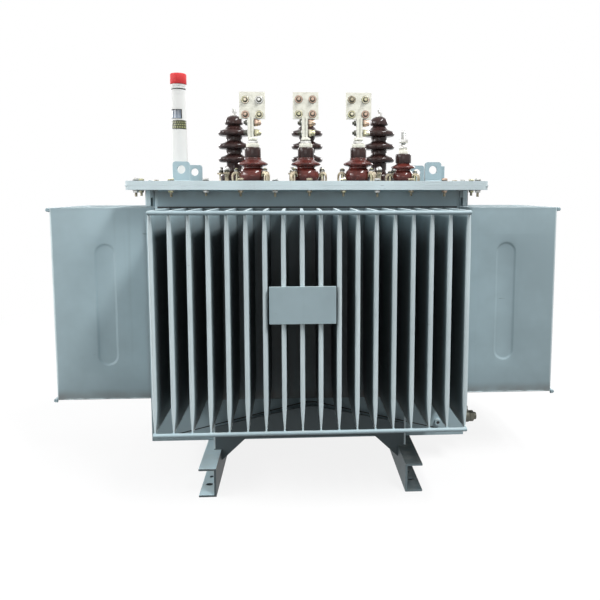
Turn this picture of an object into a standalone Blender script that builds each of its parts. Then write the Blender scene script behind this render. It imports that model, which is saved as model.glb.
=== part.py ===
"""Oil-immersed three-phase power transformer with corrugated cooling walls.

Metres, Z up. The low-voltage side faces -Y, the ground is Z = 0 and the middle of the
tank is the origin in X and Y. Left and right are seen from the front.
"""

import math

import bmesh
import bpy
from mathutils import Vector

# Clearance kept between two pieces that touch, and overlap used to join shapes.
SEAT_GAP = 0.0003
CUT_OVERRUN = 0.002
JOIN_OVERLAP = 0.001

# Tank frame: upright walls with a window behind every corrugated wall.
TANK_LENGTH = 0.944
TANK_WIDTH = 0.400
WALL_THICKNESS = 0.006
TANK_CORNER_RADIUS = 0.014
UPPER_STRIP_HEIGHT = 0.061
LOWER_STRIP_HEIGHT = 0.132
FLOOR_THICKNESS = 0.008

# Corrugated walls: sheet folded into deep hollow fins.
FIN_PITCH = 0.050
FIN_HEIGHT = 0.604
FIN_THICKNESS = 0.013
FIN_SHEET = 0.0015
FIN_PINCH = 0.0042
FIN_TAPER_HEIGHT = 0.066
FIN_SHOULDER_HEIGHT = 0.020
FIN_SHOULDER_SHARE = 0.72
FIN_SEAL_HEIGHT = 0.006
LONG_FIN_MARGIN = 0.045
LONG_FIN_DEPTH = 0.271
SHORT_FIN_MARGIN = 0.022
SHORT_FIN_DEPTH = 0.321
WINDOW_OVERLAP = 0.010
NOSE_STEPS = 3
HOLLOW_NOSE_STEPS = 2
EMBOSS_WIDTH = 0.057
EMBOSS_HEIGHT = 0.378
EMBOSS_DEPTH = 0.0009
EMBOSS_STEPS = 10

# Round bars that tie the outer edges of the fins together.
TIE_BAR_RADIUS = 0.0065
TIE_BAR_TOP_DROP = 0.0035
TIE_BAR_RISE = 0.002
TIE_BAR_OVERHANG = 0.0035
TIE_BAR_STEPS = 16

# Rim flange and cover.
COVER_OVERHANG = 0.068
FLANGE_THICKNESS = 0.012
COVER_THICKNESS = 0.0145
COVER_CORNER_RADIUS = 0.012

# Skids: folded channels with the web on the inner side.
SKID_HEIGHT = 0.084
SKID_FLANGE_WIDTH = 0.050
SKID_THICKNESS = 0.006
SKID_WEB_SPAN = 0.545
SKID_OVERRUN = 0.205
SKID_BOLT_RADIUS = 0.0055
SKID_BOLT_FROM_END = 0.116
SKID_SLOT_RADIUS = 0.0070
SKID_SLOT_LENGTH = 0.020
SKID_SLOT_FROM_END = 0.067
SKID_HOLE_FROM_WEB = 0.0285
SKID_HOLE_STEPS = 12

# Gabled plates that bridge the skids in front of and behind the tank.
BRIDGE_OFFSET = 0.066
BRIDGE_THICKNESS = 0.006
BRIDGE_SEAT_LENGTH = 0.0235
BRIDGE_SHOULDER_RISE = 0.070
BRIDGE_APEX_HALF_WIDTH = 0.017
BRIDGE_APEX_CLEARANCE = 0.0015
BRIDGE_UNDERSIDE_RISE = 0.033
BRIDGE_HAUNCH_DROP = 0.036
BRIDGE_HAUNCH_REACH = 0.074

# Upper corner brackets of the tank and the earthing boss.
BRACKET_REACH = 0.031
BRACKET_DEPTH = 0.038
BRACKET_HEIGHT = 0.050
BRACKET_EDGE_RADIUS = 0.010
BRACKET_GROOVE_WIDTH = 0.007
BRACKET_GROOVE_HEIGHT = 0.027
BRACKET_GROOVE_DEPTH = 0.016
BRACKET_GROOVE_FROM_WALL = 0.009
BOSS_RADIUS = 0.0105
BOSS_LENGTH = 0.012
BOSS_HOLE_RADIUS = 0.0052
BOSS_FROM_END = 0.060
BOSS_RISE = 0.046
BOSS_STEPS = 16

# Lifting lugs on the cover.
LUG_WIDTH = 0.052
LUG_HEIGHT = 0.062
LUG_THICKNESS = 0.012
LUG_CORNER_RADIUS = 0.009
LUG_HOLE_RADIUS = 0.0133
LUG_HOLE_RISE = 0.037
LUG_FROM_END = 0.072
LUG_EDGE_OFFSET = 0.070
LUG_CORNER_STEPS = 6
LUG_HOLE_STEPS = 24

# Small upright bracket beside the right front lug.
STAY_FROM_END = 0.030
STAY_FROM_FRONT = 0.086
STAY_WIDTH = 0.020
STAY_THICKNESS = 0.006
STAY_HEIGHT = 0.050
STAY_FOOT_DEPTH = 0.022
STAY_FOOT_THICKNESS = 0.005

# Low-voltage bushings with flag terminals.
LV_PLACE_SHARES = (("a", -0.1886), ("b", -0.0085), ("c", 0.1716), ("n", 0.3273))
LV_FROM_FRONT = 0.100
LV_FOOT_RADIUS = 0.041
LV_FOOT_HEIGHT = 0.010
LV_BELL_TOP = 0.041
LV_BELL_SHARES = ((0.38, 0.20), (0.72, 0.58), (1.0, 1.0))
LV_SHED_RADIUS = 0.048
LV_SHED_RISE = 0.052
LV_SHED_EDGE = 0.009
LV_NECK_RADIUS = 0.030
LV_COLLAR_RADIUS = 0.026
LV_COLLAR_TOP = 0.108
NEUTRAL_SHARE = 0.82
LV_CAP_RADIUS = 0.019
LV_CAP_HEIGHT = 0.024
STEM_WIDTH = 0.034
STEM_THICKNESS = 0.020
STEM_HEIGHT = 0.072
FLAG_SIZE = 0.082
FLAG_THICKNESS = 0.014
FLAG_BOLT_SPACING = 0.042
FLAG_BOLT_RADIUS = 0.0065
FLAG_BOLT_STEPS = 12
NEUTRAL_STUD_RADIUS = 0.010
NEUTRAL_STUD_HEIGHT = 0.092
NEUTRAL_NUT_RADIUS = 0.017
NEUTRAL_NUT_HEIGHT = 0.012
NEUTRAL_NUT_STEP = 0.018

# High-voltage bushings.
HV_PLACE_SHARES = (("a", -0.2712), ("b", 0.0), ("c", 0.2712))
HV_FROM_REAR = 0.100
HV_FOOT_RADIUS = 0.046
HV_FOOT_HEIGHT = 0.026
HV_WAIST_RADIUS = 0.025
HV_CORE_RADIUS = 0.031
HV_NECK_RADIUS = 0.018
HV_SHED_RADIUS = 0.057
HV_SHED_RISES = (0.0828, 0.1277, 0.1736)
HV_SHED_EDGE = 0.004
HV_SHED_UNDERCUT = 0.0115
HV_SHED_SLOPE = 0.014
HV_CAP_RADIUS = 0.0295
HV_CAP_BASE = 0.202
HV_CAP_TOP = 0.230
HV_CAP_SHARES = ((0.98, 0.12), (1.0, 0.30), (0.90, 0.72), (0.73, 1.0))
HV_STUD_RADIUS = 0.0088
HV_STUD_HEIGHT = 0.040
HV_NUT_RADIUS = 0.016
HV_NUT_HEIGHT = 0.011

# Oil level gauge.
GAUGE_FROM_END = 0.045
GAUGE_TOP_RADIUS = 0.0215
GAUGE_BASE_RADIUS = 0.0265
GAUGE_FOOT_RADIUS = 0.031
GAUGE_FOOT_HEIGHT = 0.022
GAUGE_HEIGHT = 0.312
GAUGE_CAP_RADIUS = 0.0265
GAUGE_CAP_HEIGHT = 0.043
GAUGE_CAP_EDGE = 0.004
GAUGE_WINDOW_WIDTH = 0.030
GAUGE_WINDOW_SHIFT = -0.004
GAUGE_WINDOW_HEIGHT = 0.030
GAUGE_WINDOW_RISE = 0.208
GAUGE_WINDOW_DEPTH = 0.006

# Nameplate holder on the front fins.
HOLDER_WIDTH = 0.179
HOLDER_HEIGHT = 0.101
HOLDER_THICKNESS = 0.0025
HOLDER_FOLD_DEPTH = 0.010
HOLDER_X = -0.024
HOLDER_RISE = 0.301

# Drain valve on the right-hand wall.
DRAIN_FROM_FRONT = 0.060
DRAIN_RISE = 0.040
DRAIN_FLANGE_RADIUS = 0.026
DRAIN_FLANGE_LENGTH = 0.008
DRAIN_PIPE_RADIUS = 0.015
DRAIN_BODY_RADIUS = 0.021
DRAIN_BODY_START = 0.030
DRAIN_BODY_END = 0.066
DRAIN_CAP_RADIUS = 0.0165
DRAIN_LENGTH = 0.084
DRAIN_STEM_RADIUS = 0.007
DRAIN_STEM_HEIGHT = 0.034

ROUND_STEPS = 20
STUD_STEPS = 14
SMOOTH_ANGLE_SHARE = 0.2

# Levels and half sizes worked out from the sizes above.
HALF_LENGTH = TANK_LENGTH / 2
HALF_WIDTH = TANK_WIDTH / 2
TANK_FRONT = -HALF_WIDTH
TANK_REAR = HALF_WIDTH
TANK_BASE = SKID_HEIGHT + SEAT_GAP
FIN_BASE = SKID_HEIGHT + LOWER_STRIP_HEIGHT
FIN_TOP = FIN_BASE + FIN_HEIGHT
TANK_TOP = FIN_TOP + UPPER_STRIP_HEIGHT
FLANGE_BASE = TANK_TOP - FLANGE_THICKNESS / 2
FLANGE_TOP = FLANGE_BASE + FLANGE_THICKNESS
COVER_BASE = FLANGE_TOP + SEAT_GAP
COVER_TOP = COVER_BASE + COVER_THICKNESS
SEAT_ON_COVER = COVER_TOP + SEAT_GAP
COVER_HALF_LENGTH = HALF_LENGTH + COVER_OVERHANG
COVER_HALF_WIDTH = HALF_WIDTH + COVER_OVERHANG
LV_Y = TANK_FRONT + LV_FROM_FRONT
HV_Y = TANK_REAR - HV_FROM_REAR
GAUGE_X = -HALF_LENGTH + GAUGE_FROM_END
DRAIN_Y = TANK_FRONT + DRAIN_FROM_FRONT
LONG_FIN_COUNT = int((TANK_LENGTH - 2 * LONG_FIN_MARGIN) / FIN_PITCH) + 1
SHORT_FIN_COUNT = int((TANK_WIDTH - 2 * SHORT_FIN_MARGIN) / FIN_PITCH) + 1
LONG_HALF_SPAN = HALF_LENGTH - TANK_CORNER_RADIUS
SHORT_HALF_SPAN = HALF_WIDTH - TANK_CORNER_RADIUS
SKID_FRONT = TANK_FRONT - SKID_OVERRUN
SKID_REAR = TANK_REAR + SKID_OVERRUN
TIE_BAR_LEVELS = (
    ("top", FIN_TOP - TIE_BAR_TOP_DROP),
    ("bottom", FIN_BASE + TIE_BAR_RISE),
)

PAINT = (0.235, 0.330, 0.365, 1.0)
LV_PORCELAIN = (0.115, 0.018, 0.014, 1.0)
HV_PORCELAIN = (0.050, 0.024, 0.020, 1.0)
TINNED = (0.80, 0.79, 0.72, 1.0)
GAUGE_WHITE = (0.80, 0.80, 0.78, 1.0)
GAUGE_RED = (0.70, 0.040, 0.045, 1.0)
BRASS = (0.42, 0.36, 0.16, 1.0)


def clear_scene():
    for obj in list(bpy.data.objects):
        bpy.data.objects.remove(obj, do_unlink=True)


def give_material(obj, color, roughness, metallic):
    material = bpy.data.materials.new(obj.name + "_surface")
    material.use_nodes = True
    shader = material.node_tree.nodes["Principled BSDF"]
    shader.inputs["Base Color"].default_value = color
    shader.inputs["Roughness"].default_value = roughness
    shader.inputs["Metallic"].default_value = metallic
    obj.data.materials.clear()
    obj.data.materials.append(material)
    return obj


def paint(obj):
    return give_material(obj, PAINT, 0.45, 0.0)


def mesh_object(name, vertices, faces):
    mesh = bpy.data.meshes.new(name)
    mesh.from_pydata([tuple(v) for v in vertices], [], faces)
    shell = bmesh.new()
    shell.from_mesh(mesh)
    bmesh.ops.remove_doubles(shell, verts=shell.verts, dist=SEAT_GAP / 10)
    bmesh.ops.recalc_face_normals(shell, faces=shell.faces)
    shell.to_mesh(mesh)
    shell.free()
    obj = bpy.data.objects.new(name, mesh)
    bpy.context.scene.collection.objects.link(obj)
    return obj


def prism(name, outline, start, end, place):
    """Solid between two copies of a plane outline; place maps (u, v, w) to a point."""
    count = len(outline)
    vertices = [place(u, v, start) for u, v in outline]
    vertices += [place(u, v, end) for u, v in outline]
    faces = [tuple(range(count)), tuple(range(count, 2 * count))]
    for i in range(count):
        j = (i + 1) % count
        faces.append((i, j, count + j, count + i))
    return mesh_object(name, vertices, faces)


def upright(u, v, w):
    return Vector((u, v, w))


def across(u, v, w):
    return Vector((u, w, v))


def sideways(u, v, w):
    return Vector((w, u, v))


def box(name, low, high):
    outline = [(low[0], low[1]), (high[0], low[1]), (high[0], high[1]), (low[0], high[1])]
    return prism(name, outline, low[2], high[2], upright)


def arc(center, radius, start, end, steps):
    points = []
    for i in range(steps + 1):
        angle = math.radians(start + (end - start) * i / steps)
        points.append((center[0] + radius * math.cos(angle), center[1] + radius * math.sin(angle)))
    return points


def circle(center, radius, steps):
    return arc(center, radius, 0, 360, steps)[:-1]


def rounded_rectangle(low, high, radius, steps):
    outline = arc((high[0] - radius, low[1] + radius), radius, -90, 0, steps)
    outline += arc((high[0] - radius, high[1] - radius), radius, 0, 90, steps)
    outline += arc((low[0] + radius, high[1] - radius), radius, 90, 180, steps)
    outline += arc((low[0] + radius, low[1] + radius), radius, 180, 270, steps)
    return outline


def capsule(center, half_width, half_length, steps):
    """Upright slot outline in the plane of its first coordinate and height."""
    straight = half_length - half_width
    outline = arc((center[0], center[1] + straight), half_width, 0, 180, steps)
    outline += arc((center[0], center[1] - straight), half_width, 180, 360, steps)
    return outline


def turned(name, center, profile, steps):
    """Body of revolution about an upright axis; the profile lists (radius, height)."""
    vertices = []
    rings = []
    for radius, height in profile:
        if radius == 0:
            rings.append([len(vertices)])
            vertices.append((center[0], center[1], height))
            continue
        rings.append(list(range(len(vertices), len(vertices) + steps)))
        for point in circle(center, radius, steps):
            vertices.append((point[0], point[1], height))
    faces = []
    for lower, upper in zip(rings, rings[1:]):
        for i in range(steps):
            j = (i + 1) % steps
            corners = [lower[i % len(lower)], lower[j % len(lower)]]
            corners += [upper[j % len(upper)], upper[i % len(upper)]]
            faces.append(tuple(dict.fromkeys(corners)))
    return mesh_object(name, vertices, faces)


def turn_to_side(obj, origin):
    """Lay an upright turned body down so that its axis points along +X."""
    for vertex in obj.data.vertices:
        x, y, z = vertex.co
        vertex.co = (origin[0] + z, origin[1] + y, origin[2] - x)
    return obj


def combine(obj, other, operation):
    modifier = obj.modifiers.new(operation.lower(), "BOOLEAN")
    modifier.operation = operation
    modifier.solver = "EXACT"
    modifier.object = other
    graph = bpy.context.evaluated_depsgraph_get()
    result = bpy.data.meshes.new_from_object(obj.evaluated_get(graph))
    obj.modifiers.clear()
    old = obj.data
    obj.data = result
    bpy.data.meshes.remove(old)
    bpy.data.objects.remove(other, do_unlink=True)
    return obj


def cut(obj, cutter):
    return combine(obj, cutter, "DIFFERENCE")


def join(obj, other):
    return combine(obj, other, "UNION")


def shade_smooth(obj, angle):
    """Smooth shading that keeps the edges sharper than the angle."""
    mesh = obj.data
    shell = bmesh.new()
    shell.from_mesh(mesh)
    for face in shell.faces:
        face.smooth = True
    for edge in shell.edges:
        if len(edge.link_faces) == 2:
            edge.smooth = edge.calc_face_angle() < angle
    shell.to_mesh(mesh)
    shell.free()
    return obj


def smooth(obj):
    return shade_smooth(obj, math.pi * SMOOTH_ANGLE_SHARE)


def ring_plate(name, outer, inner, base, top):
    body = prism(name, outer, base, top, upright)
    hole = prism(name + "_cutter", inner, base - CUT_OVERRUN, top + CUT_OVERRUN, upright)
    return cut(body, hole)


def tank_outline(inset):
    return rounded_rectangle(
        (-HALF_LENGTH + inset, TANK_FRONT + inset),
        (HALF_LENGTH - inset, TANK_REAR - inset),
        TANK_CORNER_RADIUS - inset,
        4,
    )


def window_cutters():
    """Openings in the tank walls behind the corrugated walls, one box through each pair."""
    low = FIN_BASE + WINDOW_OVERLAP
    high = FIN_TOP - WINDOW_OVERLAP
    reach_x = LONG_HALF_SPAN - WINDOW_OVERLAP
    reach_y = SHORT_HALF_SPAN - WINDOW_OVERLAP
    out = CUT_OVERRUN
    long_pair = box("window_long", (-reach_x, TANK_FRONT - out, low), (reach_x, TANK_REAR + out, high))
    short_pair = box(
        "window_short",
        (-HALF_LENGTH - out, -reach_y, low),
        (HALF_LENGTH + out, reach_y, high),
    )
    return long_pair, short_pair


def corner_bracket(side, front):
    """Small upper corner bracket joined to the tank wall."""
    face = TANK_FRONT if front else TANK_REAR
    inward = 1 if front else -1
    root = side * (HALF_LENGTH - WALL_THICKNESS / 2)
    tip = side * (HALF_LENGTH + BRACKET_REACH)
    near = face + inward * TANK_CORNER_RADIUS
    far = near + inward * BRACKET_DEPTH
    low = (min(root, tip), min(near, far))
    high = (max(root, tip), max(near, far))
    outline = rounded_rectangle(low, high, BRACKET_EDGE_RADIUS, 4)
    top = FLANGE_BASE - SEAT_GAP
    block = prism("bracket", outline, top - BRACKET_HEIGHT, top, upright)
    groove_x = side * (HALF_LENGTH + BRACKET_GROOVE_FROM_WALL)
    half = BRACKET_GROOVE_WIDTH / 2
    front_y = min(near, near + inward * BRACKET_GROOVE_DEPTH)
    back_y = max(near, near + inward * BRACKET_GROOVE_DEPTH)
    base = top - BRACKET_HEIGHT - CUT_OVERRUN
    groove = box(
        "groove",
        (groove_x - half, front_y - CUT_OVERRUN, base),
        (groove_x + half, back_y, top - BRACKET_HEIGHT + BRACKET_GROOVE_HEIGHT),
    )
    return cut(block, groove)


def earth_boss():
    center = (HALF_LENGTH - BOSS_FROM_END, SKID_HEIGHT + BOSS_RISE)
    face = TANK_FRONT - BOSS_LENGTH
    outline = circle(center, BOSS_RADIUS, BOSS_STEPS)
    boss = prism("boss", outline, face, TANK_FRONT + JOIN_OVERLAP, across)
    bore = circle(center, BOSS_HOLE_RADIUS, BOSS_STEPS)
    return cut(boss, prism("bore", bore, face - CUT_OVERRUN, TANK_FRONT - BOSS_LENGTH / 4, across))


def build_tank_shell():
    shell = ring_plate("tank_shell", tank_outline(0), tank_outline(WALL_THICKNESS), TANK_BASE, TANK_TOP)
    for window in window_cutters():
        cut(shell, window)
    for side in (-1, 1):
        for front in (True, False):
            join(shell, corner_bracket(side, front))
    join(shell, earth_boss())
    paint(smooth(shell))


def build_tank_floor():
    outline = tank_outline(WALL_THICKNESS + SEAT_GAP)
    paint(prism("tank_floor", outline, TANK_BASE, TANK_BASE + FLOOR_THICKNESS, upright))


def fin_half_thickness(height):
    """Half thickness of a fin at a height above its lower end."""
    full = FIN_THICKNESS / 2
    pinch = FIN_PINCH / 2
    from_end = min(height, FIN_HEIGHT - height)
    if from_end >= FIN_TAPER_HEIGHT:
        return full
    shoulder = FIN_SHOULDER_SHARE * full
    if from_end >= FIN_SHOULDER_HEIGHT:
        share = (from_end - FIN_SHOULDER_HEIGHT) / (FIN_TAPER_HEIGHT - FIN_SHOULDER_HEIGHT)
        return shoulder + (full - shoulder) * share
    return pinch + (shoulder - pinch) * from_end / FIN_SHOULDER_HEIGHT


def fin_levels(end):
    """Heights at which a fin's section changes, from one end level to the other."""
    ends = (end, FIN_SHOULDER_HEIGHT, FIN_TAPER_HEIGHT)
    return sorted(list(ends) + [FIN_HEIGHT - level for level in ends])


def fin_profile(center, half, root, tip, nose_steps):
    """Points round one fin from its left root over the rounded nose to its right root."""
    angles = [math.pi * i / nose_steps for i in range(nose_steps + 1)]
    crown = max(math.sin(angle) for angle in angles)
    points = [(center - half, root)]
    for angle in angles:
        rise = half * math.sin(angle) / crown
        points.append((center - half * math.cos(angle), tip - half + rise))
    points.append((center + half, root))
    return points


def corrugated_mesh(count, span, depth):
    """Folded wall seen in its own frame: x along the wall, y outwards, z up."""
    centers = [(i - (count - 1) / 2) * FIN_PITCH for i in range(count)]
    levels = fin_levels(0)
    vertices = []
    faces = []

    def add_row(points, level):
        start = len(vertices)
        vertices.extend((x, y, level) for x, y in points)
        return list(range(start, start + len(points)))

    def skin(rows):
        for lower, upper in zip(rows, rows[1:]):
            for i in range(len(lower) - 1):
                faces.append((lower[i], lower[i + 1], upper[i + 1], upper[i]))

    outer_rows = []
    for level in levels:
        points = [(-span, FIN_SHEET)]
        for center in centers:
            points += fin_profile(center, fin_half_thickness(level), FIN_SHEET, depth, NOSE_STEPS)
        outer_rows.append(add_row(points + [(span, FIN_SHEET)], level))
    skin(outer_rows)

    hollow_levels = fin_levels(FIN_SEAL_HEIGHT)
    hollow_rows = {center: [] for center in centers}
    back_rows = []
    for level in hollow_levels:
        inner = fin_half_thickness(level) - FIN_SHEET
        row = [add_row([(-span, 0)], level)[0]]
        for center in centers:
            hollow = fin_profile(center, inner, 0, depth - FIN_SHEET, HOLLOW_NOSE_STEPS)
            profile = add_row(hollow, level)
            hollow_rows[center].append(profile)
            row += [profile[0], profile[-1]]
        back_rows.append(row + [add_row([(span, 0)], level)[0]])
    for center in centers:
        skin(hollow_rows[center])
        faces.append(tuple(hollow_rows[center][0]))
        faces.append(tuple(hollow_rows[center][-1]))
    for lower, upper in zip(back_rows, back_rows[1:]):
        for i in range(0, len(lower), 2):
            faces.append((lower[i], lower[i + 1], upper[i + 1], upper[i]))

    for outer, back, level in (
        (outer_rows[0], back_rows[0], levels[0]),
        (outer_rows[-1], back_rows[-1], levels[-1]),
    ):
        end = add_row([(-span, 0), (span, 0)], level)
        faces.append(tuple(outer + [end[1], end[0]]))
        faces.append(tuple(back + [end[1], end[0]]))
    for column in (0, -1):
        edge = [row[column] for row in outer_rows]
        inner_edge = [row[column] for row in back_rows]
        low_end = len(vertices) - 4 + (0 if column == 0 else 1)
        high_end = len(vertices) - 2 + (0 if column == 0 else 1)
        faces.append(tuple(edge + [high_end] + inner_edge[::-1] + [low_end]))
    return vertices, faces


def wall_places():
    """Every corrugated wall: name, fin count, half span, depth and mapping to the tank."""
    gap = SEAT_GAP
    return (
        ("fins_front", LONG_FIN_COUNT, LONG_HALF_SPAN, LONG_FIN_DEPTH,
         lambda x, y: (x, TANK_FRONT - gap - y)),
        ("fins_rear", LONG_FIN_COUNT, LONG_HALF_SPAN, LONG_FIN_DEPTH,
         lambda x, y: (-x, TANK_REAR + gap + y)),
        ("fins_left", SHORT_FIN_COUNT, SHORT_HALF_SPAN, SHORT_FIN_DEPTH,
         lambda x, y: (-HALF_LENGTH - gap - y, -x)),
        ("fins_right", SHORT_FIN_COUNT, SHORT_HALF_SPAN, SHORT_FIN_DEPTH,
         lambda x, y: (HALF_LENGTH + gap + y, x)),
    )


def emboss_outer_faces(wall, side):
    """Shallow capsule recesses pressed into the outermost fin faces of a side wall."""
    reach = (SHORT_FIN_COUNT - 1) * FIN_PITCH / 2 + FIN_THICKNESS / 2
    center = (side * (HALF_LENGTH + SHORT_FIN_DEPTH / 2), FIN_BASE + FIN_HEIGHT / 2)
    outline = capsule(center, EMBOSS_WIDTH / 2, EMBOSS_HEIGHT / 2, EMBOSS_STEPS)
    for direction in (-1, 1):
        face = direction * reach
        start = face - direction * EMBOSS_DEPTH
        end = face + direction * CUT_OVERRUN
        cut(wall, prism("emboss", outline, min(start, end), max(start, end), across))


def build_corrugated_walls():
    for name, count, span, depth, to_tank in wall_places():
        vertices, faces = corrugated_mesh(count, span, depth)
        placed = [to_tank(x, y) + (z + FIN_BASE,) for x, y, z in vertices]
        wall = mesh_object(name, placed, faces)
        if depth == SHORT_FIN_DEPTH:
            emboss_outer_faces(wall, -1 if name == "fins_left" else 1)
        paint(smooth(wall))


def build_tie_bars():
    radius = TIE_BAR_RADIUS
    out_long = LONG_FIN_DEPTH + 2 * SEAT_GAP + radius
    out_short = SHORT_FIN_DEPTH + 2 * SEAT_GAP + radius
    reach_long = (LONG_FIN_COUNT - 1) * FIN_PITCH / 2 + TIE_BAR_OVERHANG
    reach_short = (SHORT_FIN_COUNT - 1) * FIN_PITCH / 2 + TIE_BAR_OVERHANG
    for label, level in TIE_BAR_LEVELS:
        for name, y in (("front", TANK_FRONT - out_long), ("rear", TANK_REAR + out_long)):
            outline = circle((y, level), radius, TIE_BAR_STEPS)
            bar = prism("tie_bar_%s_%s" % (name, label), outline, -reach_long, reach_long, sideways)
            paint(smooth(bar))
        for name, x in (("left", -HALF_LENGTH - out_short), ("right", HALF_LENGTH + out_short)):
            outline = circle((x, level), radius, TIE_BAR_STEPS)
            bar = prism("tie_bar_%s_%s" % (name, label), outline, -reach_short, reach_short, across)
            paint(smooth(bar))


def cover_outline():
    return rounded_rectangle(
        (-COVER_HALF_LENGTH, -COVER_HALF_WIDTH),
        (COVER_HALF_LENGTH, COVER_HALF_WIDTH),
        COVER_CORNER_RADIUS,
        4,
    )


def build_flange():
    paint(ring_plate("rim_flange", cover_outline(), tank_outline(-SEAT_GAP), FLANGE_BASE, FLANGE_TOP))


def build_cover():
    paint(prism("cover", cover_outline(), COVER_BASE, COVER_TOP, upright))


def skid_outline(side):
    """Channel section in X and Z, web on the inner side, flanges pointing outwards."""
    web = SKID_WEB_SPAN / 2
    outer = web + SKID_FLANGE_WIDTH
    inner = web + SKID_THICKNESS
    high = SKID_HEIGHT
    low = SKID_THICKNESS
    points = [(web, 0), (outer, 0), (outer, low), (inner, low)]
    points += [(inner, high - low), (outer, high - low), (outer, high), (web, high)]
    return [(side * x, z) for x, z in points]


def build_skids():
    for name, side in (("skid_left", -1), ("skid_right", 1)):
        skid = prism(name, skid_outline(side), SKID_FRONT, SKID_REAR, across)
        x = side * (SKID_WEB_SPAN / 2 + SKID_HOLE_FROM_WEB)
        holes = []
        for end, inward in ((SKID_FRONT, 1), (SKID_REAR, -1)):
            holes.append(circle((x, end + inward * SKID_BOLT_FROM_END), SKID_BOLT_RADIUS, SKID_HOLE_STEPS))
            slot = capsule((0, 0), SKID_SLOT_RADIUS, SKID_SLOT_LENGTH / 2, SKID_HOLE_STEPS // 2)
            slot_y = end + inward * SKID_SLOT_FROM_END
            holes.append([(x + v, slot_y + u) for u, v in slot])
        for outline in holes:
            cut(skid, prism("drill", outline, -CUT_OVERRUN, SKID_THICKNESS + CUT_OVERRUN, upright))
        paint(skid)


def bridge_outline():
    half = SKID_WEB_SPAN / 2 + BRIDGE_SEAT_LENGTH
    web = SKID_WEB_SPAN / 2 - SEAT_GAP
    seat = SKID_HEIGHT + SEAT_GAP
    under = SKID_HEIGHT + BRIDGE_UNDERSIDE_RISE
    apex = FIN_BASE - BRIDGE_APEX_CLEARANCE
    right = [
        (web - BRIDGE_HAUNCH_REACH, under),
        (web, SKID_HEIGHT - BRIDGE_HAUNCH_DROP),
        (web, seat),
        (half, seat),
        (half, SKID_HEIGHT + BRIDGE_SHOULDER_RISE),
        (BRIDGE_APEX_HALF_WIDTH, apex),
    ]
    return right + [(-x, z) for x, z in reversed(right)]


def build_bridges():
    front = TANK_FRONT - BRIDGE_OFFSET
    rear = TANK_REAR + BRIDGE_OFFSET
    thickness = BRIDGE_THICKNESS
    for name, start, end in (
        ("bridge_plate_front", front - thickness, front),
        ("bridge_plate_rear", rear, rear + thickness),
    ):
        paint(prism(name, bridge_outline(), start, end, across))


def lug_outline(center):
    half = LUG_WIDTH / 2
    radius = LUG_CORNER_RADIUS
    top = SEAT_ON_COVER + LUG_HEIGHT
    outline = [(center - half, SEAT_ON_COVER), (center + half, SEAT_ON_COVER)]
    outline += arc((center + half - radius, top - radius), radius, 0, 90, LUG_CORNER_STEPS)
    outline += arc((center - half + radius, top - radius), radius, 90, 180, LUG_CORNER_STEPS)
    return outline


def build_lugs():
    for row, y in (("front", TANK_FRONT + LUG_EDGE_OFFSET), ("rear", TANK_REAR - LUG_EDGE_OFFSET)):
        for column, side in (("left", -1), ("right", 1)):
            x = side * (HALF_LENGTH - LUG_FROM_END)
            start, end = y - LUG_THICKNESS / 2, y + LUG_THICKNESS / 2
            lug = prism("lifting_lug_%s_%s" % (row, column), lug_outline(x), start, end, across)
            hole = circle((x, SEAT_ON_COVER + LUG_HOLE_RISE), LUG_HOLE_RADIUS, LUG_HOLE_STEPS)
            cut(lug, prism("eye", hole, start - CUT_OVERRUN, end + CUT_OVERRUN, across))
            paint(smooth(lug))


def build_stay():
    """Small folded bracket that stands on the cover beside the right front lug."""
    base = SEAT_ON_COVER
    front = TANK_FRONT + STAY_FROM_FRONT
    outline = [
        (front, base),
        (front + STAY_FOOT_DEPTH, base),
        (front + STAY_FOOT_DEPTH, base + STAY_FOOT_THICKNESS),
        (front + STAY_THICKNESS, base + STAY_FOOT_THICKNESS),
        (front + STAY_THICKNESS, base + STAY_HEIGHT),
        (front, base + STAY_HEIGHT),
    ]
    end = HALF_LENGTH - STAY_FROM_END
    start = end - STAY_WIDTH
    paint(prism("cover_stay", outline, start, end, sideways))


def lv_profile(share):
    """Low-voltage porcelain: bell, one shed and a collar."""
    base = SEAT_ON_COVER
    shed = LV_SHED_RISE
    edge = LV_SHED_EDGE
    bell = []
    for rise, narrowing in LV_BELL_SHARES:
        radius = LV_FOOT_RADIUS + narrowing * (LV_NECK_RADIUS - LV_FOOT_RADIUS)
        level = LV_FOOT_HEIGHT + rise * (LV_BELL_TOP - LV_FOOT_HEIGHT)
        bell.append((share * radius, base + share * level))
    return [
        (0, base),
        (share * LV_FOOT_RADIUS, base),
        (share * LV_FOOT_RADIUS, base + LV_FOOT_HEIGHT * share),
    ] + bell + [
        (share * (LV_SHED_RADIUS - edge / 2), base + (shed - edge / 2) * share),
        (share * LV_SHED_RADIUS, base + shed * share),
        (share * (LV_SHED_RADIUS - edge / 2), base + (shed + edge) * share),
        (share * LV_NECK_RADIUS, base + (shed + 2 * edge) * share),
        (share * LV_COLLAR_RADIUS, base + (shed + 3 * edge) * share),
        (share * LV_COLLAR_RADIUS, base + (LV_COLLAR_TOP - edge / 3) * share),
        (share * (LV_COLLAR_RADIUS - edge / 3), base + LV_COLLAR_TOP * share),
        (0, base + LV_COLLAR_TOP * share),
    ]


def lv_places():
    """Name, place along the tank and relative size of each low-voltage bushing."""
    return [
        (name, place_share * TANK_LENGTH, NEUTRAL_SHARE if name == "n" else 1)
        for name, place_share in LV_PLACE_SHARES
    ]


def build_lv_bushings():
    for name, x, share in lv_places():
        body = turned("lv_bushing_" + name, (x, LV_Y), lv_profile(share), ROUND_STEPS)
        give_material(smooth(body), LV_PORCELAIN, 0.12, 0.0)


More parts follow.
